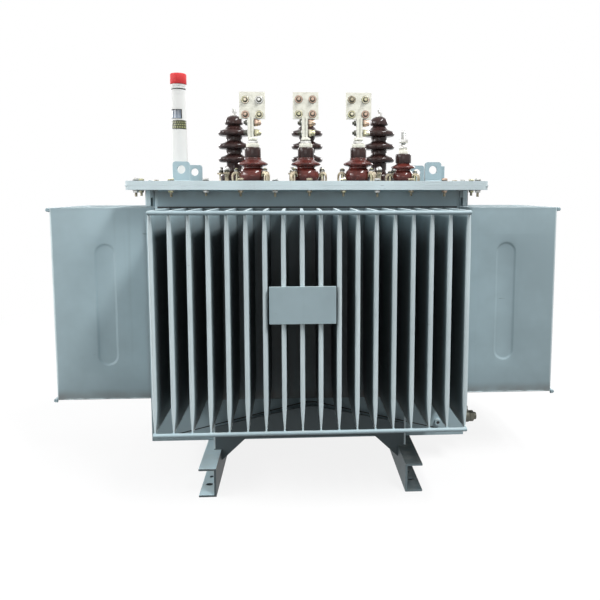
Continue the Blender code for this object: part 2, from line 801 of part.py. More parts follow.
def build_flag_terminal(name, x):
    base = SEAT_ON_COVER + LV_COLLAR_TOP + SEAT_GAP
    cap_top = base + LV_CAP_HEIGHT
    profile = [(0, base), (LV_CAP_RADIUS, base), (LV_CAP_RADIUS, cap_top), (0, cap_top)]
    terminal = turned(name, (x, LV_Y), profile, ROUND_STEPS)
    stem_top = base + LV_CAP_HEIGHT + STEM_HEIGHT
    stem = box(
        "stem",
        (x - STEM_WIDTH / 2, LV_Y - STEM_THICKNESS / 2, cap_top - JOIN_OVERLAP),
        (x + STEM_WIDTH / 2, LV_Y + STEM_THICKNESS / 2, stem_top),
    )
    flag = box(
        "flag",
        (x - FLAG_SIZE / 2, LV_Y - FLAG_THICKNESS / 2, stem_top - JOIN_OVERLAP),
        (x + FLAG_SIZE / 2, LV_Y + FLAG_THICKNESS / 2, stem_top - JOIN_OVERLAP + FLAG_SIZE),
    )
    join(terminal, stem)
    join(terminal, flag)
    middle = stem_top + FLAG_SIZE / 2
    half = FLAG_BOLT_SPACING / 2
    start = LV_Y - FLAG_THICKNESS / 2 - CUT_OVERRUN
    end = LV_Y + FLAG_THICKNESS / 2 + CUT_OVERRUN
    for dx in (-half, half):
        for dz in (-half, half):
            hole = circle((x + dx, middle + dz), FLAG_BOLT_RADIUS, FLAG_BOLT_STEPS)
            cut(terminal, prism("bolt_hole", hole, start, end, across))
    give_material(smooth(terminal), TINNED, 0.35, 0.9)


def stud_profile(base, height, stud_radius, nut_radius, nut_levels, nut_height):
    """Stud with plain round nuts at the given heights above its base."""
    profile = [(0, base)]
    level = base
    for nut in nut_levels:
        if base + nut > level:
            profile += [(stud_radius, level), (stud_radius, base + nut)]
        profile += [(nut_radius, base + nut), (nut_radius, base + nut + nut_height)]
        level = base + nut + nut_height
    profile += [(stud_radius, level), (stud_radius, base + height), (0, base + height)]
    return profile


def build_neutral_stud(x):
    base = SEAT_ON_COVER + LV_COLLAR_TOP * NEUTRAL_SHARE + SEAT_GAP
    levels = [0, NEUTRAL_NUT_STEP, 2 * NEUTRAL_NUT_STEP]
    profile = stud_profile(base, NEUTRAL_STUD_HEIGHT, NEUTRAL_STUD_RADIUS,
                           NEUTRAL_NUT_RADIUS, levels, NEUTRAL_NUT_HEIGHT)
    stud = turned("lv_stud_n", (x, LV_Y), profile, STUD_STEPS)
    give_material(smooth(stud), BRASS, 0.35, 0.9)


def hv_profile():
    """High-voltage porcelain: foot, three lens-shaped drip sheds and a cap on a neck."""
    base = SEAT_ON_COVER
    profile = [(0, base), (HV_FOOT_RADIUS, base), (HV_FOOT_RADIUS, base + HV_FOOT_HEIGHT)]
    profile.append((HV_WAIST_RADIUS, base + HV_FOOT_HEIGHT + HV_SHED_SLOPE))
    below = HV_WAIST_RADIUS
    for rise in HV_SHED_RISES:
        level = base + rise
        profile += [
            (below, level - HV_SHED_UNDERCUT),
            (HV_SHED_RADIUS - HV_SHED_EDGE, level - HV_SHED_EDGE),
            (HV_SHED_RADIUS, level),
            (HV_SHED_RADIUS - HV_SHED_EDGE, level + HV_SHED_EDGE),
            (HV_CORE_RADIUS, level + HV_SHED_SLOPE),
        ]
        below = HV_CORE_RADIUS
    foot = base + HV_CAP_BASE
    height = HV_CAP_TOP - HV_CAP_BASE
    profile.append((HV_NECK_RADIUS, foot))
    for width, share in HV_CAP_SHARES:
        profile.append((width * HV_CAP_RADIUS, foot + share * height))
    profile.append((0, foot + height))
    return profile


def hv_places():
    return [(name, place_share * TANK_LENGTH) for name, place_share in HV_PLACE_SHARES]


def build_hv_bushings():
    base = SEAT_ON_COVER + HV_CAP_TOP + SEAT_GAP
    for name, x in hv_places():
        body = turned("hv_bushing_" + name, (x, HV_Y), hv_profile(), ROUND_STEPS)
        give_material(smooth(body), HV_PORCELAIN, 0.12, 0.0)
        profile = stud_profile(base, HV_STUD_HEIGHT, HV_STUD_RADIUS, HV_NUT_RADIUS, [0], HV_NUT_HEIGHT)
        stud = turned("hv_stud_" + name, (x, HV_Y), profile, STUD_STEPS)
        give_material(smooth(stud), BRASS, 0.35, 0.9)


def build_gauge():
    base = SEAT_ON_COVER
    top = base + GAUGE_HEIGHT
    center = (GAUGE_X, 0)
    profile = [
        (0, base),
        (GAUGE_FOOT_RADIUS, base),
        (GAUGE_FOOT_RADIUS, base + GAUGE_FOOT_HEIGHT),
        (GAUGE_BASE_RADIUS, base + GAUGE_FOOT_HEIGHT),
        (GAUGE_TOP_RADIUS, top),
        (0, top),
    ]
    tube = turned("gauge_tube", center, profile, ROUND_STEPS)
    half = GAUGE_WINDOW_WIDTH / 2
    middle = GAUGE_X + GAUGE_WINDOW_SHIFT
    low = base + GAUGE_WINDOW_RISE
    window = box(
        "window",
        (middle - half, -GAUGE_BASE_RADIUS, low),
        (middle + half, GAUGE_WINDOW_DEPTH - GAUGE_TOP_RADIUS, low + GAUGE_WINDOW_HEIGHT),
    )
    give_material(smooth(cut(tube, window)), GAUGE_WHITE, 0.35, 0.0)
    low = top + SEAT_GAP
    high = low + GAUGE_CAP_HEIGHT
    edge = GAUGE_CAP_EDGE
    cap_profile = [
        (0, low),
        (GAUGE_CAP_RADIUS, low),
        (GAUGE_CAP_RADIUS, high - edge),
        (GAUGE_CAP_RADIUS - edge, high),
        (0, high),
    ]
    cap = turned("gauge_cap", center, cap_profile, ROUND_STEPS)
    give_material(smooth(cap), GAUGE_RED, 0.35, 0.0)


def build_holder():
    """Blank folded plate that carries the nameplate on the front fin edges."""
    front = TANK_FRONT - LONG_FIN_DEPTH - 2 * SEAT_GAP
    back = front - HOLDER_FOLD_DEPTH
    thick = HOLDER_THICKNESS
    low = FIN_BASE + HOLDER_RISE
    high = low + HOLDER_HEIGHT
    outline = [
        (front, low),
        (front, low + thick),
        (back + thick, low + thick),
        (back + thick, high - thick),
        (front, high - thick),
        (front, high),
        (back, high),
        (back, low),
    ]
    start, end = HOLDER_X - HOLDER_WIDTH / 2, HOLDER_X + HOLDER_WIDTH / 2
    paint(prism("nameplate_holder", outline, start, end, sideways))


def build_drain():
    profile = [
        (0, 0),
        (DRAIN_FLANGE_RADIUS, 0),
        (DRAIN_FLANGE_RADIUS, DRAIN_FLANGE_LENGTH),
        (DRAIN_PIPE_RADIUS, DRAIN_FLANGE_LENGTH),
        (DRAIN_PIPE_RADIUS, DRAIN_BODY_START),
        (DRAIN_BODY_RADIUS, DRAIN_BODY_START),
        (DRAIN_BODY_RADIUS, DRAIN_BODY_END),
        (DRAIN_CAP_RADIUS, DRAIN_BODY_END),
        (DRAIN_CAP_RADIUS, DRAIN_LENGTH),
        (0, DRAIN_LENGTH),
    ]
    origin = (HALF_LENGTH + SEAT_GAP, DRAIN_Y, SKID_HEIGHT + DRAIN_RISE)
    valve = turn_to_side(turned("drain_valve", (0, 0), profile, STUD_STEPS), origin)
    middle = origin[0] + (DRAIN_BODY_START + DRAIN_BODY_END) / 2
    stem_profile = [
        (0, origin[2]),
        (DRAIN_STEM_RADIUS, origin[2]),
        (DRAIN_STEM_RADIUS, origin[2] + DRAIN_STEM_HEIGHT),
        (0, origin[2] + DRAIN_STEM_HEIGHT),
    ]
    join(valve, turned("stem", (middle, DRAIN_Y), stem_profile, STUD_STEPS))
    give_material(smooth(valve), BRASS, 0.4, 0.9)


def main():
    clear_scene()
    build_tank_shell()
    build_tank_floor()
    build_corrugated_walls()
    build_tie_bars()
    build_flange()
    build_cover()
    build_skids()
    build_bridges()
    build_lugs()
    build_stay()
    build_lv_bushings()
    for name, x, _ in lv_places():
        if name == "n":
            build_neutral_stud(x)
        else:
            build_flag_terminal("lv_terminal_" + name, x)
    build_hv_bushings()
    build_gauge()
    build_holder()
    build_drain()


main()
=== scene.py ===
import math

import bmesh
import bpy
from bpy.props import FloatProperty, FloatVectorProperty, IntProperty, PointerProperty
from mathutils import Matrix, Vector


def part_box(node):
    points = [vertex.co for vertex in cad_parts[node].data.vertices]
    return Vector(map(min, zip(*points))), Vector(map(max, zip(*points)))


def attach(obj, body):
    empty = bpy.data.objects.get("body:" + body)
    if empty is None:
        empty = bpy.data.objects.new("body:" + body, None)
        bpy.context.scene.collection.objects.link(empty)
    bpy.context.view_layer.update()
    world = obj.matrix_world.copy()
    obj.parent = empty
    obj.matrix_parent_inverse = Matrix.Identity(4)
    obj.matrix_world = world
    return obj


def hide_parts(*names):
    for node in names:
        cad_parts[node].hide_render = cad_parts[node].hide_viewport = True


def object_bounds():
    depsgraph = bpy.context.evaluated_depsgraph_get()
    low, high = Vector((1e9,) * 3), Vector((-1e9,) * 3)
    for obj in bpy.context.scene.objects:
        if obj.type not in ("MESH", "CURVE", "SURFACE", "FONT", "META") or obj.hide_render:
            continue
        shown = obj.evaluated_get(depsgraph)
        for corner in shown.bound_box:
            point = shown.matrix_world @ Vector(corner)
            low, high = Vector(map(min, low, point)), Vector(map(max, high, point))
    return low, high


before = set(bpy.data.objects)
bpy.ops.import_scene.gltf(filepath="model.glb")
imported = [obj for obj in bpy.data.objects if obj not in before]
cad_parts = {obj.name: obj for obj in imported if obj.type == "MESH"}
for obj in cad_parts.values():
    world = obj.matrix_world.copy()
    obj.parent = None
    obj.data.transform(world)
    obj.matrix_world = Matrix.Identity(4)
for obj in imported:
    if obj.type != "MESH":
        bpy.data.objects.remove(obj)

bl_info = {
    "name": "Corrugated tank transformer",
    "version": (1, 0, 0),
    "blender": (4, 5, 0),
    "location": "View3D > Sidebar > Transformer",
    "description": "Dresses the steelwork, bushings and fittings of an oil-immersed transformer",
    "category": "Object",
}

CAD_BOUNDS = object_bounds()
BODY = "root"
WHITE = (1.0, 1.0, 1.0)
DUST = (0.52, 0.51, 0.46)
GAP_SHADE_BROWN = (0.042, 0.034, 0.031)
BAND_BROWN = (0.16, 0.125, 0.10)

X_AXIS = Vector((1, 0, 0))
Y_AXIS = Vector((0, 1, 0))
Z_AXIS = Vector((0, 0, 1))

COVER_LOW, COVER_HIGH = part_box("cover")
FLANGE_LOW, FLANGE_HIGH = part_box("rim_flange")
FRONT_LOW, FRONT_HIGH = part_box("fins_front")
SIDE_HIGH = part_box("fins_left")[1]
FLOOR_LEVEL = CAD_BOUNDS[0][2]
# How far the upper corner brackets' faces lie behind the long walls.
BRACKET_SETBACK = 0.014
STEEL_BEVEL = 0.0012
RIM_BEVEL = 0.0005
PLATE_BEVEL = 0.0009
MERGE_DISTANCE = 0.00001

PLATE_NODES = ("tank_floor", "cover_stay")
SKID_NODES = ("skid_left", "skid_right")
BRIDGE_NODES = ("bridge_plate_front", "bridge_plate_rear")
EDGE_NODES = ("cover", "rim_flange")
LUG_NODES = tuple(
    "lifting_lug_%s_%s" % (row, column)
    for row in ("front", "rear") for column in ("left", "right")
)
WALL_TURNS = {"front": 0, "right": 90, "rear": 180, "left": 270}
PHASES = ("a", "b", "c")


class TransformerSizes(bpy.types.PropertyGroup):
    """Sizes of what is dressed, in metres."""

    long_fins: IntProperty(
        name="Long wall fins", description="Fins on the front and rear walls",
        default=18, min=1)
    short_fins: IntProperty(
        name="Short wall fins", description="Fins on the left and right walls",
        default=8, min=1)
    fin_pitch: FloatProperty(
        name="Fin pitch", description="Distance between two fins",
        default=0.050, subtype="DISTANCE", unit="LENGTH")
    fin_thickness: FloatProperty(
        name="Fin thickness", description="Full width of a fin",
        default=0.013, subtype="DISTANCE", unit="LENGTH")
    fin_pinch: FloatProperty(
        name="Fin foot", description="Width of a fin at its lower end",
        default=0.0042, subtype="DISTANCE", unit="LENGTH")
    fin_top: FloatProperty(
        name="Fin top", description="Width of a fin at its upper end",
        default=0.0086, subtype="DISTANCE", unit="LENGTH")
    fin_taper: FloatProperty(
        name="Fin taper", description="Height over which a fin end narrows",
        default=0.074, subtype="DISTANCE", unit="LENGTH")
    emboss_width: FloatProperty(
        name="Emboss width", description="Width of the pressed capsule",
        default=0.057, subtype="DISTANCE", unit="LENGTH")
    emboss_height: FloatProperty(
        name="Emboss height", description="Height of the pressed capsule",
        default=0.378, subtype="DISTANCE", unit="LENGTH")
    cover_bolt_pitch: FloatProperty(
        name="Cover bolt pitch", description="Distance between the bolts of the cover",
        default=0.1025, subtype="DISTANCE", unit="LENGTH")
    cover_bolt_inset: FloatProperty(
        name="Cover bolt inset", description="Distance of the bolts from the cover's edge",
        default=0.020, subtype="DISTANCE", unit="LENGTH")
    flag_bolt_spacing: FloatProperty(
        name="Flag bolt spacing", description="Distance across between the bolts of a flag",
        default=0.044, subtype="DISTANCE", unit="LENGTH")
    flag_bolt_rise: FloatProperty(
        name="Flag bolt rise", description="Height between the bolts of a flag",
        default=0.046, subtype="DISTANCE", unit="LENGTH")


class TransformerColours(bpy.types.PropertyGroup):
    """Base colours of the finishes."""

    enamel: FloatVectorProperty(
        name="Enamel", description="Blue-grey machine enamel",
        default=(0.366, 0.478, 0.518), subtype="COLOR", min=0, max=1)
    # A paler copy of the enamel, for painted light on edges and faces that catch the lamps.
    edge_enamel: FloatVectorProperty(
        name="Edge enamel", description="Enamel on rounded edges",
        default=(0.66, 0.77, 0.80), subtype="COLOR", min=0, max=1)
    low_porcelain: FloatVectorProperty(
        name="Low-voltage glaze", description="Reddish brown glaze",
        default=(0.105, 0.022, 0.017), subtype="COLOR", min=0, max=1)
    high_porcelain: FloatVectorProperty(
        name="High-voltage glaze", description="Dark brown glaze",
        default=(0.040, 0.020, 0.018), subtype="COLOR", min=0, max=1)
    tinned: FloatVectorProperty(
        name="Tinned copper", description="Tinned terminals",
        default=(0.85, 0.84, 0.74), subtype="COLOR", min=0, max=1)
    yellow_zinc: FloatVectorProperty(
        name="Yellow zinc", description="Passivated bolts",
        default=(0.50, 0.47, 0.31), subtype="COLOR", min=0, max=1)
    brass: FloatVectorProperty(
        name="Brass", description="Tarnished brass",
        default=(0.105, 0.108, 0.088), subtype="COLOR", min=0, max=1)
    gauge_white: FloatVectorProperty(
        name="Gauge white", description="White tube of the gauge",
        default=(0.53, 0.53, 0.515), subtype="COLOR", min=0, max=1)
    gauge_red: FloatVectorProperty(
        name="Gauge red", description="Red cap of the gauge",
        default=(0.82, 0.055, 0.060), subtype="COLOR", min=0, max=1)
    floor: FloatVectorProperty(
        name="Floor", description="Pale studio floor",
        default=(0.90, 0.90, 0.90), subtype="COLOR", min=0, max=1)


class Wire:
    """An output socket of a node; sums and products with it add Math nodes."""

    def __init__(self, nodes, socket):
        self.nodes = nodes
        self.socket = socket

    def math(self, operation, first, second):
        inputs = {0: first, 1: second}
        return self.nodes.node("ShaderNodeMath", {"operation": operation}, inputs)

    def __add__(self, other):
        return self.math("ADD", self, other)

    def __sub__(self, other):
        return self.math("SUBTRACT", self, other)

    def __rsub__(self, other):
        return self.math("SUBTRACT", other, self)

    def __mul__(self, other):
        return self.math("MULTIPLY", self, other)

    __radd__ = __add__
    __rmul__ = __mul__

    def between(self, low, high):
        """0 where the value is at low, 1 where it is at high, eased and clamped; low may be
        the larger one."""
        settings = {"interpolation_type": "SMOOTHSTEP"}
        inputs = {"Value": self, "From Min": low, "From Max": high}
        return self.nodes.node("ShaderNodeMapRange", settings, inputs)


class Nodes:
    """The nodes of a material or of the world, all added by one method."""

    def __init__(self, tree):
        self.tree = tree

    def node(self, kind, settings, inputs, output=0):
        """Adds a node: its settings first, then the values or links of its sockets."""
        node = self.tree.nodes.new(kind)
        for key, value in settings.items():
            if key == "stops":
                self.set_stops(node.color_ramp, value)
            else:
                setattr(node, key, value)
        for key, value in inputs.items():
            self.feed(node.inputs[key], value)
        return Wire(self, node.outputs[output]) if node.outputs else node

    def set_stops(self, ramp, stops):
        """Positions and colours of a ramp."""
        while len(ramp.elements) < len(stops):
            ramp.elements.new(1.0)
        for element, (position, colour) in zip(ramp.elements, stops):
            element.position = position
            element.color = (*colour, 1.0)

    def feed(self, socket, value):
        """Links a wire to a socket, or writes a value or colour on it."""
        if isinstance(value, Wire):
            self.tree.links.new(value.socket, socket)
        elif socket.type == "RGBA" and len(value) == 3:
            socket.default_value = (*value, 1.0)
        else:
            socket.default_value = value

    def mix(self, first, second, share):
        """Colour between first and second."""
        settings = {"data_type": "RGBA", "clamp_factor": True}
        return self.node("ShaderNodeMix", settings, {0: share, 6: first, 7: second}, 2)

    def seen(self):
        """1 for what the camera, a mirror or glass shows, 0 for the rest of the light."""
        camera, mirror, glass = (
            self.node("ShaderNodeLightPath", {}, {}, ray)
            for ray in ("Is Camera Ray", "Is Glossy Ray", "Is Transmission Ray")
        )
        settings = {"operation": "ADD", "use_clamp": True}
        return self.node("ShaderNodeMath", settings, {0: camera + mirror, 1: glass})


class Surface(Nodes):
    """A material in the making: its nodes, and the shader that ends it."""

    def __init__(self, name, constants):
        self.material = bpy.data.materials.new(name)
        self.material.use_nodes = True
        super().__init__(self.material.node_tree)
        self.shader = self.tree.nodes["Principled BSDF"]
        for socket, value in constants.items():
            self.shader.inputs[socket].default_value = value

    def place(self, stretch=(1, 1, 1)):
        """Object coordinates in metres, multiplied by stretch."""
        at = self.node("ShaderNodeTexCoord", {}, {}, "Object")
        return self.node("ShaderNodeVectorMath", {"operation": "MULTIPLY"}, {0: at, 1: stretch})

    def noise(self, scale, detail, roughness, stretch=(1, 1, 1)):
        """Clouded value round one half."""
        inputs = {"Vector": self.place(stretch), "Scale": scale}
        inputs.update({"Detail": detail, "Roughness": roughness})
        return self.node("ShaderNodeTexNoise", {}, inputs, "Fac")

    def spots(self, scale):
        """Distance to the nearest of many scattered points."""
        inputs = {"Vector": self.place(), "Scale": scale}
        return self.node("ShaderNodeTexVoronoi", {}, inputs, "Distance")

    def normal(self):
        return self.node("ShaderNodeNewGeometry", {}, {}, "Normal")

    def height(self):
        return self.node("ShaderNodeSeparateXYZ", {}, {0: self.place()}, "Z")

    def facing_up(self):
        return self.node("ShaderNodeSeparateXYZ", {}, {0: self.normal()}, "Z")

    def edges(self, radius):
        """Near 1 on sharp edges and 0 on flat stretches."""
        rounded = self.node("ShaderNodeBevel", {"samples": 4}, {"Radius": radius})
        settings = {"operation": "DOT_PRODUCT"}
        inputs = {0: rounded, 1: self.normal()}
        alike = self.node("ShaderNodeVectorMath", settings, inputs, "Value")
        return (1 - alike).between(0.01, 0.20)

    def recess(self, distance):
        """Near 1 in corners and narrow gaps."""
        settings, inputs = {"samples": 6}, {"Distance": distance}
        return 1 - self.node("ShaderNodeAmbientOcclusion", settings, inputs, "AO")

    def colour(self, value):
        self.feed(self.shader.inputs["Base Color"], value)

    def rough(self, value):
        self.feed(self.shader.inputs["Roughness"], value)

    def bump(self, height, distance, strength):
        inputs = {"Height": height, "Distance": distance, "Strength": strength}
        self.feed(self.shader.inputs["Normal"], self.node("ShaderNodeBump", {}, inputs))


def scaled(colour, factor):
    """The colour made lighter or darker, with no channel above 1."""
    return tuple(min(1.0, channel * factor) for channel in colour)


def palette():
    """Colours that the panel holds."""
    return bpy.context.scene.transformer_colours


def finish_named(name, maker, *values):
    """The material of that name, made the first time it is asked for."""
    return bpy.data.materials.get(name) or maker(name, *values)


def make_enamel(name, colour, roughness, painted_top_tone=None, dark_band=None, valley=0.0):
    """Sprayed enamel on steel: clouding, runs, dust on upward faces and scuffs, with painted shade
    in corners and narrow gaps, and pale edges that are partly wear and partly painted highlight.

    The colour given for what faces up paints light and shade from above. The band gives two
    heights: the darker brownish band is full at the first and gone at the second, which may be
    the lower one. The valley share is how much painted shade lies deep between the fins; it
    thins towards their open tops, where light falls in.
    """
    surface = Surface(name, {"Specular IOR Level": 0.42})
    cloud = surface.noise(3.4, 4.0, 0.6)
    runs = surface.noise(1.0, 3.0, 0.6, (30, 30, 1.5))
    fine = surface.noise(95.0, 3.0, 0.6)
    scuffs = surface.noise(17.0, 2.0, 0.5, (1.0, 1.0, 3.2)).between(0.735, 0.765)
    up = surface.facing_up().between(0.50, 0.95)
    dust = up * surface.noise(18.0, 4.0, 0.65).between(0.35, 0.72)
    # Painted shade: darker in corners and narrow gaps, where less light reaches.
    recess_shade = surface.recess(0.030).between(0.45, 0.95)
    tone = surface.mix(scaled(colour, 0.92), scaled(colour, 1.07), cloud.between(0.36, 0.64))
    tone = surface.mix(tone, scaled(colour, 0.82), runs.between(0.58, 0.80) * 0.35)
    # Up-facing faces take their own colour: painted light and shade from above.
    if painted_top_tone:
        tone = surface.mix(tone, painted_top_tone, up * 0.85)
    tone = surface.mix(tone, scaled(colour, 0.45), recess_shade * 0.60)
    tone = surface.mix(tone, DUST, dust * 0.28)
    tone = surface.mix(tone, scaled(colour, 0.35), scuffs * 0.45)
    # Pale edges: partly wear, partly painted highlight where the edges catch the light.
    tone = surface.mix(tone, scaled(colour, 1.40), surface.edges(0.0016) * 0.45)
    # Painted shade deep between the fins, thinning towards their open tops, where light falls in.
    if valley:
        deep = surface.recess(0.075).between(0.34, 0.68)
        gap_shade = surface.mix(scaled(colour, 0.12), GAP_SHADE_BROWN, runs.between(0.42, 0.62))
        open_from, open_to = FRONT_HIGH.z - 0.10, FRONT_HIGH.z - 0.015
        open_top = surface.height().between(open_from, open_to) * 0.42
        tone = surface.mix(tone, gap_shade, deep * valley * (1 - open_top))
    # Darker brownish band between two heights: on the tank, painted shadow under the rim flange; on
    # the walls, a brownish band along the lower edge.
    if dark_band:
        full, gone = dark_band
        patches = surface.noise(12.0, 4.0, 0.6).between(0.30, 0.70) * 0.6 + 0.4
        stain = (1 - surface.height().between(full, gone)) * patches
        tone = surface.mix(tone, BAND_BROWN, stain * 0.55)
    surface.colour(tone)
    surface.rough(roughness + cloud * 0.10 + dust * 0.20 + fine * 0.05)
    orange_peel = surface.noise(420.0, 2.0, 0.5) * 0.12
    surface.bump(orange_peel + surface.noise(9.0, 2.0, 0.4), 0.0012, 0.30)
    return surface.material


def make_glaze(name, colour, rim, coat):
    """Glazed porcelain: deep mottled body, paler on the rims, partly thinner glaze and partly
    painted highlight, with painted shade under the sheds and in hollows.
    """
    coated = {"Coat Weight": coat, "Coat Roughness": 0.04}
    surface = Surface(name, {**coated, "Specular IOR Level": 0.10})
    mottle = surface.noise(42.0, 5.0, 0.6)
    speck = surface.spots(320.0).between(0.10, 0.24)
    # Painted shade: darker under the sheds and in hollows, where less light reaches.
    shade = surface.recess(0.035).between(0.40, 0.85)
    tone = surface.mix(scaled(colour, 0.70), scaled(colour, 1.30), mottle.between(0.32, 0.68))
    tone = surface.mix(scaled(colour, 0.50), tone, speck * 0.5 + 0.5)
    # Rims paler: partly thinner glaze, partly painted highlight.
    tone = surface.mix(tone, rim, surface.edges(0.003) * 0.60)
    tone = surface.mix(tone, scaled(colour, 0.12), shade * 0.90)
    surface.colour(tone)
    surface.rough(0.22 + mottle * 0.10)
    surface.bump(surface.noise(70.0, 2.0, 0.4), 0.0008, 0.20)
    return surface.material


def make_metal(name, colour, stain, roughness, metallic):
    """Bare or plated metal with patchy oxide and fine scratches, and painted shade in its hollows.
    """
    surface = Surface(name, {"Metallic": metallic})
    patch = surface.noise(95.0, 4.0, 0.6)
    scratch = surface.noise(30.0, 2.0, 0.7, (1, 1, 14))
    # Painted shade: darker in hollows and corners.
    shade = surface.recess(0.007).between(0.25, 0.70)
    tone = surface.mix(colour, stain, patch.between(0.44, 0.70))
    tone = surface.mix(tone, scaled(colour, 0.20), shade * 0.85)
    surface.colour(tone)
    surface.rough(roughness + patch * 0.16 + scratch * 0.08)
    surface.bump(scratch + patch * 0.4, 0.0004, 0.30)
    return surface.material


def make_zinc(name, colour):
    """Passivated zinc: straw yellow that drifts to green and pink, with painted shade in its
    hollows.
    """
    surface = Surface(name, {"Metallic": 0.85})
    drift = surface.noise(55.0, 3.0, 0.55)
    green, pale, pink = (0.33, 0.37, 0.19), (0.62, 0.59, 0.47), (0.52, 0.36, 0.29)
    stops = ((0.30, green), (0.47, colour), (0.60, pale), (0.74, pink))
    tone = surface.node("ShaderNodeValToRGB", {"stops": stops}, {0: drift})
    # Painted shade: darker in hollows and corners.
    shade = surface.recess(0.007).between(0.30, 0.80)
    surface.colour(surface.mix(tone, (0.10, 0.085, 0.055), shade * 0.85))
    surface.rough(0.26 + drift * 0.16)
    surface.bump(surface.noise(240.0, 3.0, 0.6), 0.0003, 0.35)
    return surface.material


def make_plastic(name, colour, roughness):
    """Moulded or sprayed plastic with faint handling marks, and painted shade in its hollows."""
    surface = Surface(name, {"Coat Weight": 0.15, "Coat Roughness": 0.12})
    marks = surface.noise(24.0, 5.0, 0.65)
    # Painted shade: darker in hollows and corners.
    shade = surface.recess(0.006).between(0.45, 0.95)
    tone = surface.mix(colour, scaled(colour, 0.84), marks.between(0.52, 0.78) * 0.5)
    tone = surface.mix(tone, scaled(colour, 0.55), shade * 0.5)
    surface.colour(tone)
    surface.rough(roughness + marks * 0.12)
    surface.bump(surface.noise(180.0, 3.0, 0.5), 0.0003, 0.25)
    return surface.material


def make_rubber(name, colour):
    """Matt black rubber or paint with a faint bloom; also the black of painted shade inside holes.
    """
    surface = Surface(name, {})
    bloom = surface.noise(60.0, 4.0, 0.6)
    surface.colour(surface.mix(colour, scaled(colour, 2.2), bloom.between(0.5, 0.8)))
    surface.rough(0.55 + bloom * 0.2)
    surface.bump(surface.noise(300.0, 3.0, 0.5), 0.0003, 0.4)
    return surface.material


def make_sight_glass(name, colour):
    """Window of the gauge: grey-blue, darker towards the top where the oil stands low."""
    surface = Surface(name, {"Coat Weight": 1.0, "Coat Roughness": 0.03})
    low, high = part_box("gauge_tube")
    height = high.z - low.z
    level = surface.height().between(low.z + 0.66 * height, low.z + 0.76 * height)
    murk = surface.noise(120.0, 3.0, 0.5)
    tone = surface.mix(scaled(colour, 1.15), scaled(colour, 0.42), level)
    surface.colour(surface.mix(tone, scaled(colour, 0.8), murk.between(0.4, 0.7) * 0.5))
    surface.rough(0.08 + murk * 0.06)
    surface.bump(murk, 0.0002, 0.2)
    return surface.material


def make_floor(name, colour):
    """Matt pale floor: white where it is seen, darker where the object's shadow falls, and
    dark to the rest of the light, so that little of it shines up on the object."""
    surface = Surface(name, {"Roughness": 0.9, "Specular IOR Level": 0.1})
    grain = surface.noise(9.0, 3.0, 0.5)
    seen = surface.seen()
    tone = surface.mix(scaled(colour, 0.98), scaled(colour, 1.02), grain)
    surface.colour(surface.mix(scaled(colour, 0.05), tone, seen))
    glow = surface.node("ShaderNodeEmission", {}, {"Color": WHITE, "Strength": 1.0})
    lit = Wire(surface, surface.shader.outputs[0])
    settings = {"operation": "LENGTH"}
    away = surface.node("ShaderNodeVectorMath", settings, {0: surface.place()}, "Value")
    share = seen * (0.86 + away.between(0.9, 3.0) * 0.14)
    total = surface.node("ShaderNodeMixShader", {}, {0: share, 1: lit, 2: glow})
    surface.feed(surface.tree.nodes["Material Output"].inputs["Surface"], total)
    return surface.material


def enamel():
    return finish_named("enamel_body", make_enamel, palette().enamel, 0.42)


def tank_enamel():
    """Enamel of the tank, darker just under the rim flange: painted shadow of the lid's overhang.
    """
    dark_band = (FLANGE_LOW.z - 0.002, FLANGE_LOW.z - 0.048)
    return finish_named("enamel_tank", make_enamel, palette().enamel, 0.42, None, dark_band)


def skid_enamel(node):
    """Enamel of a skid, with painted light and shade: the left one's flanges painted bright as
    lit, the right one's flanges and both webs painted dark as shade.
    """
    web_share, ledge_share = {"skid_left": (0.20, 1.65), "skid_right": (0.50, 0.28)}[node]
    web, painted_top_tone = (scaled(palette().enamel, share) for share in (web_share, ledge_share))
    return finish_named("enamel_" + node, make_enamel, web, 0.45, painted_top_tone)


def shaded_enamel():
    """Enamel of the bridge plates, painted dark as the shade under the fins."""
    return finish_named("enamel_shaded", make_enamel, scaled(palette().enamel, 0.24), 0.50)


def wall_enamel():
    """Enamel of the cooling walls: painted shade deep between the fins, up-facing faces painted
    pale as lit from above, brownish along the lower edge.
    """
    dark_band = (FRONT_LOW.z + 0.004, FRONT_LOW.z + 0.040)
    painted_top_tone = tuple(palette().edge_enamel)
    return finish_named("enamel_walls", make_enamel, palette().enamel, 0.42, painted_top_tone, dark_band, 0.88)


def edge_enamel():
    """Paler enamel on the fin noses, seams and other edges: painted light where they catch the
    lamps.
    """
    return finish_named("enamel_edges", make_enamel, palette().edge_enamel, 0.38)


def lid_enamel():
    """Painted light on the lid: its upright edges painted pale as lit, the body colour on top."""
    painted_top_tone = tuple(palette().enamel)
    return finish_named("enamel_lid", make_enamel, palette().edge_enamel, 0.38, painted_top_tone)


def low_glaze():
    colour, rim = palette().low_porcelain, (0.28, 0.15, 0.12)
    return finish_named("glaze_reddish_brown", make_glaze, colour, rim, 0.60)


def high_glaze():
    colour, rim = palette().high_porcelain, (0.19, 0.12, 0.10)
    return finish_named("glaze_dark_brown", make_glaze, colour, rim, 0.42)


def metal(name, colour, stain, roughness, metallic):
    return finish_named(name, make_metal, colour, stain, roughness, metallic)


def tinned():
    return metal("tinned_copper", palette().tinned, (0.73, 0.72, 0.62), 0.40, 0.20)


def bright_zinc():
    return metal("bright_zinc", (0.66, 0.66, 0.64), (0.46, 0.45, 0.42), 0.26, 0.8)


def cream_zinc():
    return metal("cream_zinc", (0.46, 0.40, 0.29), (0.17, 0.13, 0.08), 0.34, 0.5)


def copper():
    return metal("copper_tinted", (0.52, 0.37, 0.29), (0.36, 0.29, 0.21), 0.30, 0.8)


def brass():
    return metal("tarnished_brass", palette().brass, (0.10, 0.095, 0.07), 0.40, 0.6)


